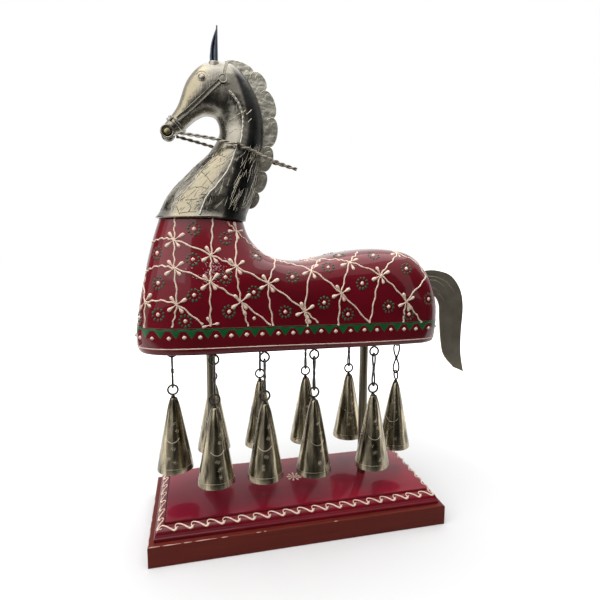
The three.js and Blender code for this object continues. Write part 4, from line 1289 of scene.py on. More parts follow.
for hand, side in SIDES.items():
    beside = from_side(neck_surfaces[hand], side)
    ridge = [hand_drawn(RIDGE, beside, 5, wave=0.1, blobs=False)]
    solder = draw_lines(f"solder_ridge_{hand}", ridge, RIDGE_WIDTH, soft_solder, sides=10)
    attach(solder, "figurine")
    marks = [hand_drawn(line, beside, i, wave=0.1, width=0.9) for i, line in enumerate(CHASED)]
    bright_marks = [
        hand_drawn(line, beside, 3, wave=0.15, blobs=False)
        for line in (BREAST_CREASE, *BRIGHT_CUTS)
    ]
    chance = random.Random(40 + side)
    for number in range(GRAVER_MARKS):
        # the first are hair on the back of the neck, then small cuts all over the breast
        if number < HAIR_MARKS:
            u, v = chance.uniform(0.01, 0.23), chance.uniform(0.03, 0.38)
            drift, reach = chance.uniform(-0.03, 0.03), chance.uniform(0.02, 0.06)
        else:
            u, v = chance.uniform(0.01, 0.24), chance.uniform(0.42, 0.96)
            drift, reach = chance.uniform(-0.05, 0.03), chance.uniform(0.006, 0.03)
        stroke = []
        for i in range(6):
            share = min(0.999, u + reach * i / 5)
            section = head_sections[int(share * (SHEET_STEPS - 1))]
            spot = section_point(section, math.pi * (v + drift * i / 5), 0.02)
            spot.y = side * abs(spot.y)
            place = (spot + Vector((0, 0, UNDERSIDE))) * MM
            stroke.append((place, 0.35 + 0.3 * math.sin(math.pi * i / 5)))
        (marks if number % 2 and number >= HAIR_MARKS else bright_marks).append(stroke)
    for label, strokes, material in (
        ("chased_leaves", marks, dark_cut), ("graver_marks", bright_marks, bright_cut),
    ):
        chasing = draw_lines(f"{label}_{hand}", strokes, CHASING_WIDTH, material, sides=5)
        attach(chasing, "figurine")

# Mane
# A scalloped plate cut from the same sheet and hammered flat, set on edge in the seam at the back
# of the neck. Two curled cuts run in from each notch on both faces.


def dull_sheet(name, low, high, dent_mm, dent_depth):
    """Tarnished sheet, clouded and a little beaten."""
    made = mottled(name, low, high, patch_mm=11, detail=5.0, roughness=0.38, metallic=1.0)
    tree = made.node_tree
    where = add(tree, "ShaderNodeTexCoord")
    dents = add(tree, "ShaderNodeTexNoise", {
        "Vector": where.outputs["Object"], "Scale": 1000 / dent_mm, "Detail": 2.0,
    })
    beaten = add(tree, "ShaderNodeBump", {
        "Height": dents.outputs[0], "Strength": 0.5, "Distance": dent_depth * MM,
    })
    tree.links.new(beaten.outputs[0], tree.nodes["Principled BSDF"].inputs["Normal"])
    return made


# The mane is hammered and rubbed, so light breaks up on it in soft dents. The tail and the small
# wires have gone darker and are nearly smooth.
rubbed_sheet = dull_sheet(
    "hammered_white_metal_sheet", "8e8b80", "e2ddcd", dent_mm=5, dent_depth=1.2)
grey_sheet = dull_sheet(
    "darkened_white_metal_sheet", "756c62", "b3aa98", dent_mm=1.5, dent_depth=0.1)

MANE_NOTCHES = (
    (-47.8, 312), (-28.2, 308.2), (-20.6, 297.3), (-15, 280), (-17.4, 261.2), (-21.3, 245),
    (-26, 231), (-32.5, 220.5),
)
MANE_BULGE = 3.8
MANE_SHEET = 1.2
MANE_CUT_WIDTH = 0.6
MANE_CUTS = (
    # each cut at a notch: start, reach inwards and curl along the edge, mm
    (0, 5.2, 5.0), (0.9, 2.6, 3.0),
)


def plate(name, outline, thickness, material, bevel=0.18):
    """A flat sheet cut to an outline of (x, z) points in mm, upright on the middle plane."""
    count = len(outline)
    vertices = [Vector((x, y, z)) * MM for y in (-thickness / 2, thickness / 2) for x, z in outline]
    area = sum(
        x0 * z1 - x1 * z0 for (x0, z0), (x1, z1) in zip(outline, outline[1:] + outline[:1]))
    front = list(range(count))
    if area < 0:
        front.reverse()
    faces = [tuple(front), tuple(count + i for i in reversed(front))]
    for i in range(count):
        a, b = front[i - 1], front[i]
        faces.append((b, a, count + a, count + b))
    made = make_piece(name, vertices, faces, material, sharp=30)
    rounding = made.modifiers.new("edge", "BEVEL")
    rounding.width = bevel * MM
    rounding.segments = 2
    rounding.limit_method = "ANGLE"
    rounding.angle_limit = math.radians(40)
    return made


def lobe(first, second, bulge, steps=14):
    """The rounded edge of a scallop between two notches, without its last point."""
    (x0, z0), (x1, z1) = first, second
    chord = math.hypot(x1 - x0, z1 - z0)
    out = Vector((-(z1 - z0), x1 - x0)) / chord * bulge * 4 / 3
    lean = Vector((x1 - x0, z1 - z0)) * 0.08
    p0, p3 = Vector(first), Vector(second)
    p1, p2 = p0 + out + lean, p3 + out - lean
    points = []
    for i in range(steps):
        t = i / steps
        s = 1 - t
        points.append(tuple(p0 * s ** 3 + p1 * 3 * s * s * t + p2 * 3 * s * t * t + p3 * t ** 3))
    return points


outline = []
for first, second in zip(MANE_NOTCHES, MANE_NOTCHES[1:]):
    outline += lobe(first, second, MANE_BULGE)
outline.append(MANE_NOTCHES[-1])
for section in head_sections[::6]:
    edge = section[1]
    if edge.x > MANE_NOTCHES[0][0] and edge.y + UNDERSIDE > MANE_NOTCHES[-1][1] - 3:
        outline.append((edge.x - 2, edge.y + UNDERSIDE - 1))
mane = plate("mane_plate", outline, MANE_SHEET, rubbed_sheet)
cuts = []
for (x0, z0), (x1, z1) in zip(MANE_NOTCHES[1:], MANE_NOTCHES[2:]):
    along = Vector((x1 - x0, z1 - z0)).normalized()
    inward = Vector((along.y, -along.x))
    for start, reach, curl in MANE_CUTS:
        foot = Vector((x0, z0)) + along * start * 3 - inward * start * 1.2
        bow = [
            foot + inward * reach * math.sin(1.5 * t) + along * curl * t * t
            for t in (i / 8 for i in range(9))
        ]
        cuts += [
            [(Vector((p.x, y, p.y)) * MM, 1 - 0.06 * i) for i, p in enumerate(bow)]
            for y in (-MANE_SHEET / 2, MANE_SHEET / 2)
        ]
mane_cuts = draw_lines("mane_cuts", cuts, MANE_CUT_WIDTH, bright_cut, sides=6)
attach(mane_cuts, "figurine")
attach(mane, "figurine")
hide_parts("mane")

# Tail
# A flat blade of the same sheet, sawn to a curve, chased with a few long cuts and left to darken.
# Its tang is glued in a saw cut at the rump.
TAIL_OUTER = (
    (96, 176.6), (103, 177.7), (110, 177.3), (121.4, 173.5), (129.8, 163.3), (133.1, 150.7),
    (132.6, 127), (133.4, 111), (136.4, 97),
)
TAIL_INNER = (
    (127.4, 101), (118.4, 111.5), (115.2, 124), (113.4, 141), (112.4, 151.5), (108, 158), (99, 158),
)
TAIL_SHEET = 1.2
TANG_END = ((90, 158), (90, 176.6))
TAIL_CUT_WIDTH = 0.42


def curve_through(stops, steps):
    """Even shares of the way along the curve through (x, z) stops, both ends included."""
    corners = [Vector(stop) for stop in stops]
    return [through(corners, i / steps) for i in range(steps + 1)]


outline = list(TANG_END)
outline += [tuple(spot) for spot in curve_through(TAIL_OUTER, 44)]
outline += [tuple(spot) for spot in curve_through(TAIL_INNER, 30)]
tail = plate("tail_blade", outline, TAIL_SHEET, grey_sheet)
TAIL_CUTS = (
    ((101.7, 173.5), (110.8, 172), (119.4, 168.2)), ((118, 168.4), (121.6, 165), (125.2, 160.4)),
    ((102, 170.3), (109, 169.8), (116.5, 165)), ((101, 166), (106.7, 164.7), (112.8, 161)),
    ((102.4, 162.8), (106, 161), (109, 158.8)), ((110.4, 160.4), (113.6, 158), (116.5, 154.6)),
)
cuts = [
    [
        (Vector((p.x, y, p.y)) * MM, 1.0 - 0.7 * abs(i / 12 - 0.5))
        for i, p in enumerate(curve_through(line, 12))
    ]
    for line in TAIL_CUTS for y in (-TAIL_SHEET / 2, TAIL_SHEET / 2)
]
tail_cuts = draw_lines("tail_cuts", cuts, TAIL_CUT_WIDTH, bright_cut, sides=6)
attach(tail_cuts, "figurine")
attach(tail, "figurine")
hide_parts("tail")

# Ears
# Each ear is a leaf of thin sheet rolled to a trough that opens sideways and narrows to a point.
# Its foot stands in a small collar, soldered on the poll.

# The soldering flame has left a blue-black bloom, which clears to grey where hands have touched.
blued_leaf = mottled(
    "heat_darkened_leaf", "1a1f29", "5d636c",
    patch_mm=5, detail=4.0, roughness=0.36, metallic=1.0,
)

EAR_WIDTH = 5.0
EAR_LENGTH = 23.5
EAR_SHEET = 0.8
EAR_BACK_EDGE = -51.2
EAR_FOOT = 308.4
EAR_SPREAD = 12.0
EAR_TAPER_START = 0.35
EAR_STEPS, EAR_TURN = 26, 14
EAR_WRAP = math.radians(105)  # how far the leaf goes round to each side of its back
COLLAR_RINGS = (
    # how far out from the leaf's foot, and height, mm
    (0.5, 310), (0.9, 309.2), (0.5, 305.4),
)
for side, hand in ((-1, "left"), (1, "right")):
    opening = side * 0.75 * math.pi
    vertices = []
    for i in range(EAR_STEPS + 1):
        u = i / EAR_STEPS
        past = max(0, (u - EAR_TAPER_START) / (1 - EAR_TAPER_START))
        radius = max(EAR_WIDTH / 2 * (1 - past ** 1.6), EAR_SHEET * 0.6)
        inner = max(radius - EAR_SHEET, EAR_SHEET / 5)
        turns = [
            opening + math.pi + (k / EAR_TURN - 0.5) * 2 * EAR_WRAP for k in range(EAR_TURN + 1)
        ]
        ring = [(radius, a) for a in turns] + [(inner, a) for a in reversed(turns)]
        middle = Vector((EAR_BACK_EDGE - radius, side * EAR_SPREAD / 2, EAR_FOOT + u * EAR_LENGTH))
        vertices += [(middle + Vector((math.cos(a), math.sin(a), 0)) * r) * MM for r, a in ring]
    faces = solid_faces(EAR_STEPS + 1, len(ring))
    ear = make_piece(f"ear_leaf_{hand}", vertices, faces, blued_leaf, sharp=50)
    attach(ear, "figurine")
    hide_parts(f"ear_{hand}")
    collar = []
    for out, z in COLLAR_RINGS:
        middle = Vector((EAR_BACK_EDGE - EAR_WIDTH / 2, side * EAR_SPREAD / 2, z - UNDERSIDE))
        radius = EAR_WIDTH / 2 + out
        collar.append([
            middle + Vector((math.cos(a), math.sin(a), 0)) * radius for a in even_turn(28)
        ])
    collar_piece = lofted(f"ear_collar_{hand}", collar, bright_sheet)
    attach(collar_piece, "figurine")

# Eyes
# A small domed boss of the bright sheet is soldered on each side of the head, and polished at its
# crown. A lid of thin dark wire is laid round it, with a bent brow above.


def turned_on(name, centre, outward, profile, material, sides=36, sharp=40):
    """A turned piece on a surface. The profile is (radius, height) in mm along outward."""
    outward = outward.normalized()
    across = outward.orthogonal().normalized()
    over = outward.cross(across)
    vertices = [
        centre + (across * (r * math.cos(a)) + over * (r * math.sin(a)) + outward * h) * MM
        for r, h in profile for a in even_turn(sides)
    ]
    return make_piece(name, vertices, solid_faces(len(profile), sides), material, sharp)


EYE = (-61.4, 298.5)
EYE_DOME_RADIUS = 2.05
EYE_DOME_HEIGHT = 1.5
LID_HALF_WIDTH = 2.55
LID_HALF_HEIGHT = 2.4
LID_WIRE = 0.55
BROW = ((-65, 300.6), (-62.5, 302.6), (-59, 302), (-56.8, 299))
dome = [
    (EYE_DOME_RADIUS * math.cos(a), 0.1 + EYE_DOME_HEIGHT * math.sin(a))
    for a in (math.radians(9 * i) for i in range(10))
]
for hand, side in SIDES.items():
    beside = from_side(neck_surfaces[hand], side)
    centre, outward = beside(*EYE)
    eye_profile = [(EYE_DOME_RADIUS, -0.6), *dome, (0.1, 1.6)]
    eye = turned_on(f"eye_dome_{hand}", centre, outward, eye_profile, bright_sheet)
    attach(eye, "figurine")
    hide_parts("eye_left" if side < 0 else "eye_right")
    lid = []
    for angle in (*even_turn(40), 2 * math.pi):
        x = EYE[0] + LID_HALF_WIDTH * math.cos(angle)
        z = EYE[1] + LID_HALF_HEIGHT * math.sin(angle)
        lid.append((beside(x, z)[0], 1))
    brow = hand_drawn(BROW, beside, 2, wave=0)
    lids = draw_lines(f"eye_lid_{hand}", [lid, brow], LID_WIRE, grey_sheet)
    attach(lids, "figurine")

# Halter
# Narrow strips of darkened sheet with two bright raised edges run from the noseband to a round
# rosette on each cheek. A thinner strip goes on over the poll, and all are soft-soldered.

# Punched pits hold dirt between the edges, so the strip is speckled dark and only its edges shine.
dark_strap, tree, shader = new_material("darkened_chased_strip")
where = add(tree, "ShaderNodeTexCoord")
height = add(tree, "ShaderNodeAttribute", attribute_name="height")
pits = add(tree, "ShaderNodeTexVoronoi", {"Vector": where.outputs["Object"], "Scale": 1000 / 1.1})
speckle = add(tree, "ShaderNodeMapRange", {
    "Value": pits.outputs["Distance"], "From Min": 0.1, "From Max": 0.6, "To Min": 0, "To Max": 0.4,
})
wear = add(tree, "ShaderNodeMath", {
    0: speckle.outputs[0], 1: height.outputs["Fac"]}, operation="MAXIMUM")
strap_tone = add(tree, "ShaderNodeMix", {
    "Factor": wear.outputs[0], "A": linear("5b5952"), "B": linear("a19b8d"),
}, data_type="RGBA")
tree.links.new(strap_tone.outputs["Result"], shader.inputs["Base Color"])
shader.inputs["Metallic"].default_value = 1.0
shader.inputs["Roughness"].default_value = 0.5

STRAP_PROFILE = (
    # share of the half width, height in mm, brightness
    (-1, -0.2, 0), (-1, 0.7, 0.6), (-0.86, 1.05, 1), (-0.7, 0.7, 0.5), (-0.6, 0.55, 0),
    (0.6, 0.55, 0), (0.7, 0.7, 0.5), (0.86, 1.05, 1), (1, 0.7, 0.6), (1, -0.2, 0),
)
STRAP_FLOOR = 0.55


def strap(name, stations, width, flat=1.0):
    """A strip along stations of (place, outward, across). Flat is how far its edges stand up."""
    vertices, bright = [], []
    for place, outward, across in stations:
        for share, height, glow in STRAP_PROFILE:
            rise = min(height, STRAP_FLOOR)
            rise += (height - rise) * flat
            vertices.append(place + (across * (share * width / 2) + outward * rise) * MM)
            bright.append(glow * flat)
    faces = solid_faces(len(stations), len(STRAP_PROFILE), flip=True)
    made = make_piece(name, vertices, faces, dark_strap, sharp=50)
    mesh = bmesh.new()
    mesh.from_mesh(made.data)
    bmesh.ops.recalc_face_normals(mesh, faces=mesh.faces)
    mesh.to_mesh(made.data)
    mesh.free()
    made.data.attributes.new("height", "FLOAT", "POINT").data.foreach_set("value", bright)
    return made


def stations_along(drops):
    """Stations for a strip from (place, outward) pairs along it."""
    stations = []
    for i, (place, outward) in enumerate(drops):
        ahead = drops[min(i + 1, len(drops) - 1)][0] - drops[max(i - 1, 0)][0]
        stations.append((place, outward, outward.cross(ahead).normalized()))
    return stations


STRAP_FOOT = Vector((-76.2, 273.7))
ROSETTE = Vector((-48.8, 298.2))
CHEEK_STRAP_WIDTH = 3.0
CHEEK_STEPS = 36
CROWN_STRAP_WIDTH = 1.7
CROWN_STEPS = 24
CROWN_LEAN = 4.2
ROSETTE_PROFILE = (
    # radius and height, mm
    (2.7, -0.5), (2.7, 1.0), (2.5, 1.2), (2.2, 1.15), (2.05, 1.0), (1.2, 1.1), (0.1, 1.15),
)
for hand, side in SIDES.items():
    beside = from_side(neck_surfaces[hand], side)
    drops = [
        beside(*STRAP_FOOT.lerp(ROSETTE, i / CHEEK_STEPS)) for i in range(CHEEK_STEPS + 1)
    ]
    cheek_strap = strap(f"cheek_strap_{hand}", stations_along(drops), CHEEK_STRAP_WIDTH)
    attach(cheek_strap, "figurine")
    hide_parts("halter_left" if side < 0 else "halter_right")
    crown = []
    for i in range(CROWN_STEPS + 1):
        rise = math.radians(84 * i / CROWN_STEPS)
        hub = Vector((ROSETTE.x + CROWN_LEAN * i / CROWN_STEPS, 0, ROSETTE.y))
        out = Vector((0, side * math.cos(rise), math.sin(rise)))
        crown.append(land(neck_surfaces[hand], (hub + out * 40) * MM, -out))
    crown_strap = strap(
        f"crown_strap_{hand}", stations_along(crown), CROWN_STRAP_WIDTH, flat=0.2)
    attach(crown_strap, "figurine")
    centre, outward = beside(*ROSETTE)
    rosette = turned_on(f"rosette_{hand}", centre, outward, ROSETTE_PROFILE, bright_sheet)
    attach(rosette, "figurine")

# Noseband
# A cuff of bright sheet with rolled edges, bent round the muzzle and soldered under the chin. It
# follows the muzzle's own shape and holds the lower ends of the cheek strips.
NOSEBAND = Vector((-78.6, 0, 272.6)) * MM
MUZZLE_TILT = math.radians(51.7)
muzzle_way = Vector((math.cos(MUZZLE_TILT), 0, math.sin(MUZZLE_TILT)))
muzzle_over = Vector((-math.sin(MUZZLE_TILT), 0, math.cos(MUZZLE_TILT)))
NOSEBAND_PROFILE = (
    # along the muzzle and height, mm
    (-1.3, 0.1), (-1.25, 0.85), (-1.0, 1.15), (-0.75, 0.85), (-0.4, 0.75), (0, 0.8), (0.4, 0.75),
    (0.75, 0.85), (1.0, 1.15), (1.25, 0.85), (1.3, 0.1),
)
NOSEBAND_STEPS = 72
vertices = []
for i in range(NOSEBAND_STEPS):
    angle = 2 * math.pi * (i + 0.5) / NOSEBAND_STEPS
    out = Vector((0, math.cos(angle), 0)) + muzzle_over * math.sin(angle)
    hand = "far" if out.y > 0 else "near"
    for along, height in NOSEBAND_PROFILE:
        start = NOSEBAND + (muzzle_way * along + out * 24) * MM
        start.y += 0.2 * SIDES[hand] * MM
        place, _ = land(neck_surfaces[hand], start, -out)
        vertices.append(place + out * height * MM)
faces = ring_faces(NOSEBAND_STEPS, len(NOSEBAND_PROFILE), looped=True)
noseband = make_piece("muzzle_cuff", vertices, faces, bright_sheet, sharp=60)
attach(noseband, "figurine")
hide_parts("noseband")

# Bit rings
# A cupped washer with a bright rolled rim and a yellow rivet in its middle sits on each corner
# of the mouth. The rein's end is held behind it.

# Handled brass goes brown in small specks, with a dull yellow left between them.
rivet_brass = mottled(
    "dull_brass_rivet", "5f5843", "a09775",
    patch_mm=1.4, detail=3.0, roughness=0.4, metallic=1.0,
)

BIT = Vector((-83, 0, 266.6))
BIT_SEAT = 3.8
RIM_RADIUS = 3.75
RIM_HEIGHT = 2.0
RIM_ROLL = 0.62
rolled_rim = [
    (RIM_RADIUS + RIM_ROLL * math.cos(math.radians(a)),
     RIM_HEIGHT + RIM_ROLL * math.sin(math.radians(a)))
    for a in range(-40, 200, 20)
]
# the profiles below are radius and height, mm
cup_profile = ((3.4, 0), (4.0, 0.7), *rolled_rim, (2.7, 1.3), (1.9, 1.0), (0.1, 0.95))
RIVET_PROFILE = ((2.0, 0.9), (2.0, 1.9), (1.8, 2.25), (1.2, 2.45), (0.1, 2.55))
STUD_PROFILE = ((1.7, -0.6), (1.8, 1.0), (1.4, 1.4), (0.9, 1.1), (0.1, 1.0))
NOSE_STUD = (-80.4, 274.2)
for hand, side in SIDES.items():
    out = Vector((0, side, 0))
    seat = (BIT + out * BIT_SEAT) * MM
    cup = turned_on(f"bit_cup_{hand}", seat, out, cup_profile, bright_sheet)
    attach(cup, "figurine")
    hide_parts("bit_ring_left" if side < 0 else "bit_ring_right")
    rivet = turned_on(f"bit_rivet_{hand}", seat, out, RIVET_PROFILE, rivet_brass)
    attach(rivet, "figurine")
    stud_place, stud_out = from_side(neck_surfaces[hand], side)(*NOSE_STUD)
    stud = turned_on(f"nose_stud_{hand}", stud_place, stud_out, STUD_PROFILE, bright_sheet)
    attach(stud, "figurine")

# Reins
# Two round wires are twisted together on each side. They pass the neck, where a short winding
# ties them, and end side by side behind it. The wire is stiff and holds its shape.

# Black iron for everything that hangs shows only small glints.
# The reins' wire is given a paler tone.
dark_wire = mottled(
    "darkened_iron_wire", "1b1a19", "5e5850",
    patch_mm=2.5, detail=3.0, roughness=0.36, metallic=1.0,
)
rein_wire = mottled(
    "paler_iron_wire", "4a4742", "b5ae9f",
    patch_mm=2.5, detail=3.0, roughness=0.36, metallic=1.0,
)

REIN_ROUTE = (
    (-78, -6.2, 266), (-65.6, -10, 264), (-55.5, -13.4, 262.2), (-48, -15.4, 260.4),
    (-40, -17.4, 258.2), (-32, -15.6, 256.2), (-24.6, -10.6, 254), (-16.2, -5, 252.1),
    (-7.5, -1.4, 249.7), (0.8, -0.2, 247.5),
)
REIN_PITCH = 9.6
REIN_WIRE = 1.25
REIN_STEP = 0.6
TIE_POINT = 4
TIE_TURNS = 3
TIE_STEPS = 80
TIE_RADIUS = 1.45
TIE_WIRE = 0.75
ROUTE_STEPS = 400


def run_of(points, step):
    """Even steps along a smooth route in mm: the places and the directions there."""
    raw = [through(points, t / ROUTE_STEPS) for t in range(ROUTE_STEPS + 1)]
    reach = [0.0]
    for a, b in zip(raw, raw[1:]):
        reach.append(reach[-1] + (b - a).length)
    count = round(reach[-1] / step)
    places, at = [], 0
    for i in range(count + 1):
        goal = reach[-1] * i / count
        while at < ROUTE_STEPS - 1 and reach[at + 1] < goal:
            at += 1
        share = (goal - reach[at]) / (reach[at + 1] - reach[at])
        places.append(raw[at].lerp(raw[at + 1], min(1, share)))
    ways = [
        (places[min(i + 1, count)] - places[max(i - 1, 0)]).normalized()
        for i in range(count + 1)
    ]
    return places, ways


for hand, side in SIDES.items():
    route = [Vector((x, y * -side, z)) for x, y, z in REIN_ROUTE]
    places, ways = run_of(route, REIN_STEP)
    strands = []
    for start in (0, math.pi):
        strand = []
        for i, (place, way) in enumerate(zip(places, ways)):
            across = Vector((0, 1, 0)).cross(way).normalized()
            upward = way.cross(across)
            twist = start - 2 * math.pi * i * REIN_STEP / REIN_PITCH
            swing = across * math.cos(twist) + upward * math.sin(twist)
            strand.append(((place + swing * REIN_WIRE * 0.46) * MM, 1.0))
        strands.append(strand)
    rein = draw_lines(f"rein_wires_{hand}", strands, REIN_WIRE, rein_wire, sides=10)
    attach(rein, "figurine")
    knot = Vector(REIN_ROUTE[TIE_POINT])
    knot.y *= -side
    winding = []
    for i in range(TIE_STEPS + 1):
        turn = 2 * math.pi * TIE_TURNS * i / TIE_STEPS
        round_it = Vector((0, math.cos(turn), math.sin(turn))) * TIE_RADIUS
        winding.append(((knot + Vector((-1 + 2 * i / TIE_STEPS, 0, 0)) + round_it) * MM, 1.0))
    tie = draw_lines(f"rein_tie_{hand}", [winding], TIE_WIRE, dark_wire, sides=8)
    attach(tie, "figurine")
    if side < 0:
        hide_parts("reins")

# Screw eyes
# Each bell hangs from a ring of black iron wire, four along each side and one at each end. Its
# shank is screwed up into the flat underside of the body.
WIRE = 1.3
EYE_RADIUS = 3.05
EYE_CENTRE = UNDERSIDE - 0.3 - EYE_RADIUS - WIRE / 2
EYE_LOW = EYE_CENTRE - EYE_RADIUS
EYE_SHANK = 10.0
NAMES = [f"{row}_{i}" for row in ("near", "far") for i in range(1, 5)] + ["front", "rear"]


def wire_mesh(path, thickness, closed, sides=10):
    """The corners and faces of round wire along a path in mm."""
    count = len(path)
    vertices = []
    lift = None
    for i, spot in enumerate(path):
        ahead = path[(i + 1) % count] if closed else path[min(i + 1, count - 1)]
        behind = path[i - 1] if closed else path[max(i - 1, 0)]
        way = (ahead - behind).normalized()
        lift = way.orthogonal() if lift is None else lift - way * lift.dot(way)
        lift.normalize()
        over = way.cross(lift)
        vertices += [
            spot + (lift * math.cos(a) + over * math.sin(a)) * thickness / 2
            for a in even_turn(sides)
        ]
    if closed:
        return vertices, ring_faces(count, sides, looped=True)
    return vertices, solid_faces(count, sides)


def joined(*shapes):
    """Several sets of corners and faces as one."""
    vertices, faces = [], []
    for more, shape_faces in shapes:
        faces += [tuple(len(vertices) + i for i in face) for face in shape_faces]
        vertices += more
    return vertices, faces


def ring_path(radius, z, steps=40, start=0.0, share=1.0):
    """Part of a ring in the XZ plane, about the bell's own axis."""
    return [
        Vector((radius * math.sin(a), 0, z + radius * math.cos(a)))
        for a in (start + 2 * math.pi * share * i / steps for i in range(steps))
    ]


def under_body(name):
    """How a hanging shape is turned and moved from the middle to its place under the body."""
    low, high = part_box(f"screw_eye_{name}")
    spin = Matrix.Rotation(math.pi / 2 if name == "rear" else 0, 4, "Z")
    return spin, Vector(((low.x + high.x) / 2, (low.y + high.y) / 2, 0))


def hang(label, name, shape, material, sharp=40):
    """A copy of a hanging shape in its place under the body, riding on its own body."""
    spin, shift = under_body(name)
    moved = [spin @ (v * MM) + shift for v in shape[0]]
    made = make_piece(f"{label}_{name}", moved, shape[1], material, sharp)
    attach(made, "figurine" if label == "screw_eye" else f"{label}_{name}")
    return made


shank = [Vector((0, 0, z)) for z in (EYE_CENTRE + EYE_RADIUS, UNDERSIDE + 4, UNDERSIDE + EYE_SHANK)]
eye_path = ring_path(EYE_RADIUS, EYE_CENTRE, 44, start=0.12, share=0.975)
eye_shape = joined(wire_mesh(eye_path, WIRE, False), wire_mesh(shank, WIRE, False))
for name in NAMES:
    eye = hang("screw_eye", name, eye_shape, dark_wire)
    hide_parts(f"screw_eye_{name}")

# Links
# A length of iron wire is bent to a long eye at each end, and its tails are wound round the
# middle. The upper eye hangs in the screw eye and the lower one carries the bell's loop.
SLACK = 0.3  # between two wires that hang in each other, mm
LINK_LENGTH = 22.95
LINK_TOP = EYE_LOW + WIRE + SLACK
LINK_BOTTOM = LINK_TOP - LINK_LENGTH
LINK_HALF = 2.3
LINK_FULLNESS = 1.3
LINK_STEPS = 48
WAIST_RADIUS = 0.55
WAIST_LENGTH = 2.6
WAIST_TURNS = 2.5
WAIST_STEPS = 60
link_middle = (LINK_TOP + LINK_BOTTOM) / 2
link_reach = (LINK_TOP - LINK_BOTTOM) / 2


def link_eye(way):
    """One teardrop eye of a link, from the waist out and back, in the YZ plane."""
    points = []
    for i in range(LINK_STEPS + 1):
        angle = 0.42 + (2 * math.pi - 0.84) * i / LINK_STEPS
        wide = LINK_HALF * math.sin(angle) * math.sin(angle / 2) * LINK_FULLNESS
        points.append(Vector((
            0, wide, link_middle + way * link_reach * (1 - math.cos(angle)) / 2)))
    return points


waist = []
for i in range(WAIST_STEPS + 1):
    angle = 2 * math.pi * WAIST_TURNS * i / WAIST_STEPS
    waist.append(Vector((
        WAIST_RADIUS * math.cos(angle), WAIST_RADIUS * math.sin(angle),
        link_middle + WAIST_LENGTH * (i / WAIST_STEPS - 0.5))))
link_shape = joined(
    wire_mesh(link_eye(1), WIRE, False), wire_mesh(link_eye(-1), WIRE, False),
    wire_mesh(waist, WIRE * 0.85, False),
)
for name in NAMES:
    link = hang("link", name, link_shape, dark_wire)
    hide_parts(f"link_{name}")

# Bells
# Each bell is a fan of sheet rolled to a tall cone, with one edge lapped over the other. The
# wire loop passes through its crown and ends in a hook inside. A maker's punch and graver have
# left a crescent, small stars and a line above the rim.

# Rolling leaves long facets, and the sheet is browned and rubbed back. The bright and dark streaks
# down the cone are partly that browning and partly painted highlight and shade on the facets.
# Each facet also has a sharp glint.
bell_metal, tree, shader = new_material("antiqued_sheet_with_painted_facet_light")
where = add(tree, "ShaderNodeTexCoord")
stretch = add(tree, "ShaderNodeMapping", {
    "Vector": where.outputs["Object"], "Scale": (1000 / 4.2, 1000 / 4.2, 1000 / 40),
})
rolled = add(tree, "ShaderNodeTexNoise", {
    "Vector": stretch.outputs[0], "Scale": 1.0, "Detail": 4.0,
})
streak = add(tree, "ShaderNodeMapRange", {
    "Value": rolled.outputs[0], "From Min": 0.32, "From Max": 0.68,
})
bell_tone_and_facet_light = add(tree, "ShaderNodeMix", {
    "Factor": streak.outputs[0], "A": linear("3d382e"), "B": linear("bdb196"),
}, data_type="RGBA")
tree.links.new(bell_tone_and_facet_light.outputs["Result"], shader.inputs["Base Color"])
shader.inputs["Metallic"].default_value = 1.0
shader.inputs["Roughness"].default_value = 0.22
facets = add(tree, "ShaderNodeBump", {
    "Height": rolled.outputs[0], "Strength": 0.5, "Distance": 0.8 * MM,
})
tree.links.new(facets.outputs[0], shader.inputs["Normal"])

LOOP_RADIUS = 3.3
LOOP_CENTRE = LINK_BOTTOM + WIRE + SLACK - LOOP_RADIUS
BELL_TOP = LOOP_CENTRE - LOOP_RADIUS - WIRE / 2 - 1
BELL_LENGTH = 51.0
MOUTH_RADIUS = 12.0
CROWN_RADIUS = 2.6
CROWN_PINCH = 0.9
BELL_SHEET = 0.8
BELL_LAP = 0.7
LAP_TURN = math.radians(40)
BELL_RING = 72
CLAPPER_WIRE = 1.0
HOOK_RADIUS = 1.6
HOOK_CENTRE = BELL_TOP - 9
bell_mouth = BELL_TOP - BELL_LENGTH


def bell_radius(z, angle, inside=False):
    """The cone's radius. The lapped edge stands out and drops back in one step at the seam."""
    share = (BELL_TOP - z) / BELL_LENGTH
    radius = CROWN_RADIUS + (MOUTH_RADIUS - CROWN_RADIUS) * share
    radius -= CROWN_PINCH * max(0, 1 - share / 0.16) ** 2
    if inside:
        return radius - BELL_SHEET
    rise = max(0, 1 - (2 * math.pi - angle) / LAP_TURN)
    return radius + BELL_LAP * min(1, 1.6 * rise)


bell_angles = [*even_turn(BELL_RING), 2 * math.pi - 0.004]


def bell_cone():
    """The rolled sheet with its crown, outside and in."""
    levels = [BELL_TOP - 0.05, BELL_TOP - 0.25, BELL_TOP - 0.7]
    levels += [BELL_TOP - BELL_LENGTH * (0.03 + 0.965 * i / 24) for i in range(25)]
    insets = [0.9, 0.3] + [0] * (len(levels) - 3) + [0.12]
    rings = []
    for z, inset in zip(levels, insets):
        rings.append([(bell_radius(z, a) - inset, a, z) for a in bell_angles])
    for z in (bell_mouth, *reversed(levels[3:]), BELL_TOP - 1.2):
        lip = 0.1 if z == bell_mouth else 0
        rings.append([(bell_radius(z, a, inside=True) + lip, a, z) for a in bell_angles])
    vertices = [Vector((r * math.cos(a), r * math.sin(a), z)) for ring in rings for r, a, z in ring]
    return vertices, solid_faces(len(rings), len(bell_angles), flip=True)


cone_shape = bell_cone()


def on_bell(angle, down, lift=0.05):
    """A place on the cone in mm: how far down from the top, and the turn round it."""
    z = BELL_TOP - down
    r = bell_radius(z, angle % (2 * math.pi)) + lift
    return Vector((r * math.cos(angle), r * math.sin(angle), z))


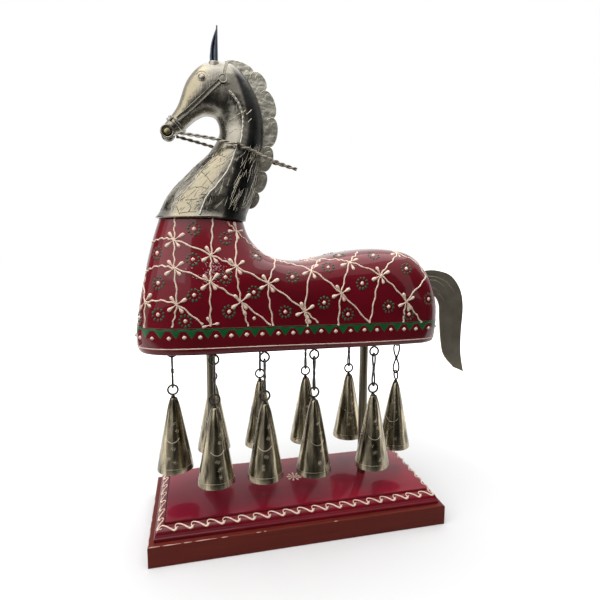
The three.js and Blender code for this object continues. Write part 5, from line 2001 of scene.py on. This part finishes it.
loop_path = ring_path(LOOP_RADIUS, LOOP_CENTRE, 36)
stem_heights = (LOOP_CENTRE - LOOP_RADIUS, BELL_TOP, BELL_TOP - 2, HOOK_CENTRE + HOOK_RADIUS)
stem = [
    Vector((0.35 * math.sin(i), 0.35 * math.cos(i), z)) for i, z in enumerate(stem_heights)
]
collar_path = [Vector((v.x, v.z, BELL_TOP + 0.35)) for v in ring_path(1.0, 0, 16)]
loop_shape = joined(
    wire_mesh(loop_path, WIRE, True), wire_mesh(stem, WIRE * 0.8, False),
    wire_mesh(collar_path, 0.9, True),
    wire_mesh(ring_path(HOOK_RADIUS, HOOK_CENTRE, 24), CLAPPER_WIRE, True, sides=8),
)
CHASED_FACES = 3  # the same marks are chased this many times round the cone
CHASING_STEP = 2.1
CRESCENT_DOWN = 27
STARS_DOWN = (16, 39.5, 42)
STAR_RAYS = (0.3, 1.1, 1.9, 2.6)
DASHES_DOWN = (21.5, 33)
RIM_LINE_DOWN = 47.2
BELL_CHASING_WIDTH = 0.26
for number, name in enumerate(NAMES):
    bell = hang("bell", name, cone_shape, bell_metal, sharp=30)
    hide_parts(f"bell_{name}")
    spin, shift = under_body(name)
    loop_corners = [spin @ (v * MM) + shift for v in loop_shape[0]]
    loop = make_piece(f"bell_loop_{name}", loop_corners, loop_shape[1], dark_wire, sharp=60)
    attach(loop, f"bell_{name}")
    chance = random.Random(number)
    strokes = []
    for number_round in range(CHASED_FACES):
        face = -math.pi / 2 + number_round * CHASING_STEP + chance.uniform(-0.2, 0.2)
        crescent = []
        for t in (i / 8 for i in range(-8, 9)):
            down = CRESCENT_DOWN + 2.6 * (1 - t * t) + chance.uniform(-0.05, 0.05)
            crescent.append((on_bell(face + 0.62 * t, down), 1.2))
        strokes.append(crescent)
        for star_down in STARS_DOWN:
            middle = face + chance.uniform(-0.3, 0.6)
            down = star_down + chance.uniform(-1.5, 1.5)
            for ray_turn in STAR_RAYS:
                reach = chance.uniform(1.1, 2.0)
                radius = bell_radius(BELL_TOP - down, 1)
                turned = reach * math.cos(ray_turn) / radius
                lowered = reach * math.sin(ray_turn)
                strokes.append([
                    (on_bell(middle + t * turned, down + t * lowered), 0.6)
                    for t in (-1, -0.4, 0.4, 1)
                ])
        for down in DASHES_DOWN:
            middle = face + chance.uniform(-0.5, 0.4)
            for i in range(3):
                strokes.append([
                    (on_bell(middle + 0.11 * i + 0.07 * t, down - 0.9 * t + 0.4 * i), 0.75)
                    for t in (-1, 0, 1)
                ])
    strokes.append([
        (on_bell(angle, RIM_LINE_DOWN + 0.15 * math.sin(i / 3)), 0.55)
        for i, angle in enumerate(even_turn(72))
    ])
    placed = [[(spin @ (v * MM) + shift, share) for v, share in stroke] for stroke in strokes]
    chasing = draw_lines(
        f"bell_chasing_{name}", placed, BELL_CHASING_WIDTH, bright_cut, sides=4)
    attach(chasing, f"bell_{name}")

# Clappers
# A piece of the black iron wire with an eye at its top, hooked on the ring inside the bell. A small
# cast bead on its lower end strikes the mouth.
CLAPPER_CENTRE = HOOK_CENTRE - HOOK_RADIUS + CLAPPER_WIRE + SLACK - HOOK_RADIUS
CLAPPER_REACH = 26.2
BEAD_RADIUS = 3.0
BEAD_SIDES = 24
clapper_top = CLAPPER_CENTRE - HOOK_RADIUS
bead_low = clapper_top + 2 * HOOK_RADIUS + CLAPPER_WIRE / 2 - CLAPPER_REACH - BEAD_RADIUS / 2
clapper_eye = [Vector((0, v.x, v.z)) for v in ring_path(HOOK_RADIUS, CLAPPER_CENTRE, 24)]
clapper_stem = [Vector((0, 0, z)) for z in (clapper_top, bead_low + 8, bead_low + 4)]
bead_round = [
    (BEAD_RADIUS * math.sin(math.radians(a)), BEAD_RADIUS * (1 - math.cos(math.radians(a))))
    for a in range(20, 150, 13)
]
bead_profile = ((0.2, 0), *bead_round, (1.1, 6.2), (0.6, 6.8))
bead_corners = [
    Vector((r * math.cos(a), r * math.sin(a), bead_low + h))
    for r, h in bead_profile for a in even_turn(BEAD_SIDES)
]
bead_shape = bead_corners, solid_faces(len(bead_profile), BEAD_SIDES)
clapper_shape = joined(
    wire_mesh(clapper_eye, CLAPPER_WIRE, True, sides=8),
    wire_mesh(clapper_stem, CLAPPER_WIRE, False, sides=8), bead_shape,
)
for name in NAMES:
    clapper = hang("clapper", name, clapper_shape, dark_wire)
    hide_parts(f"clapper_{name}")
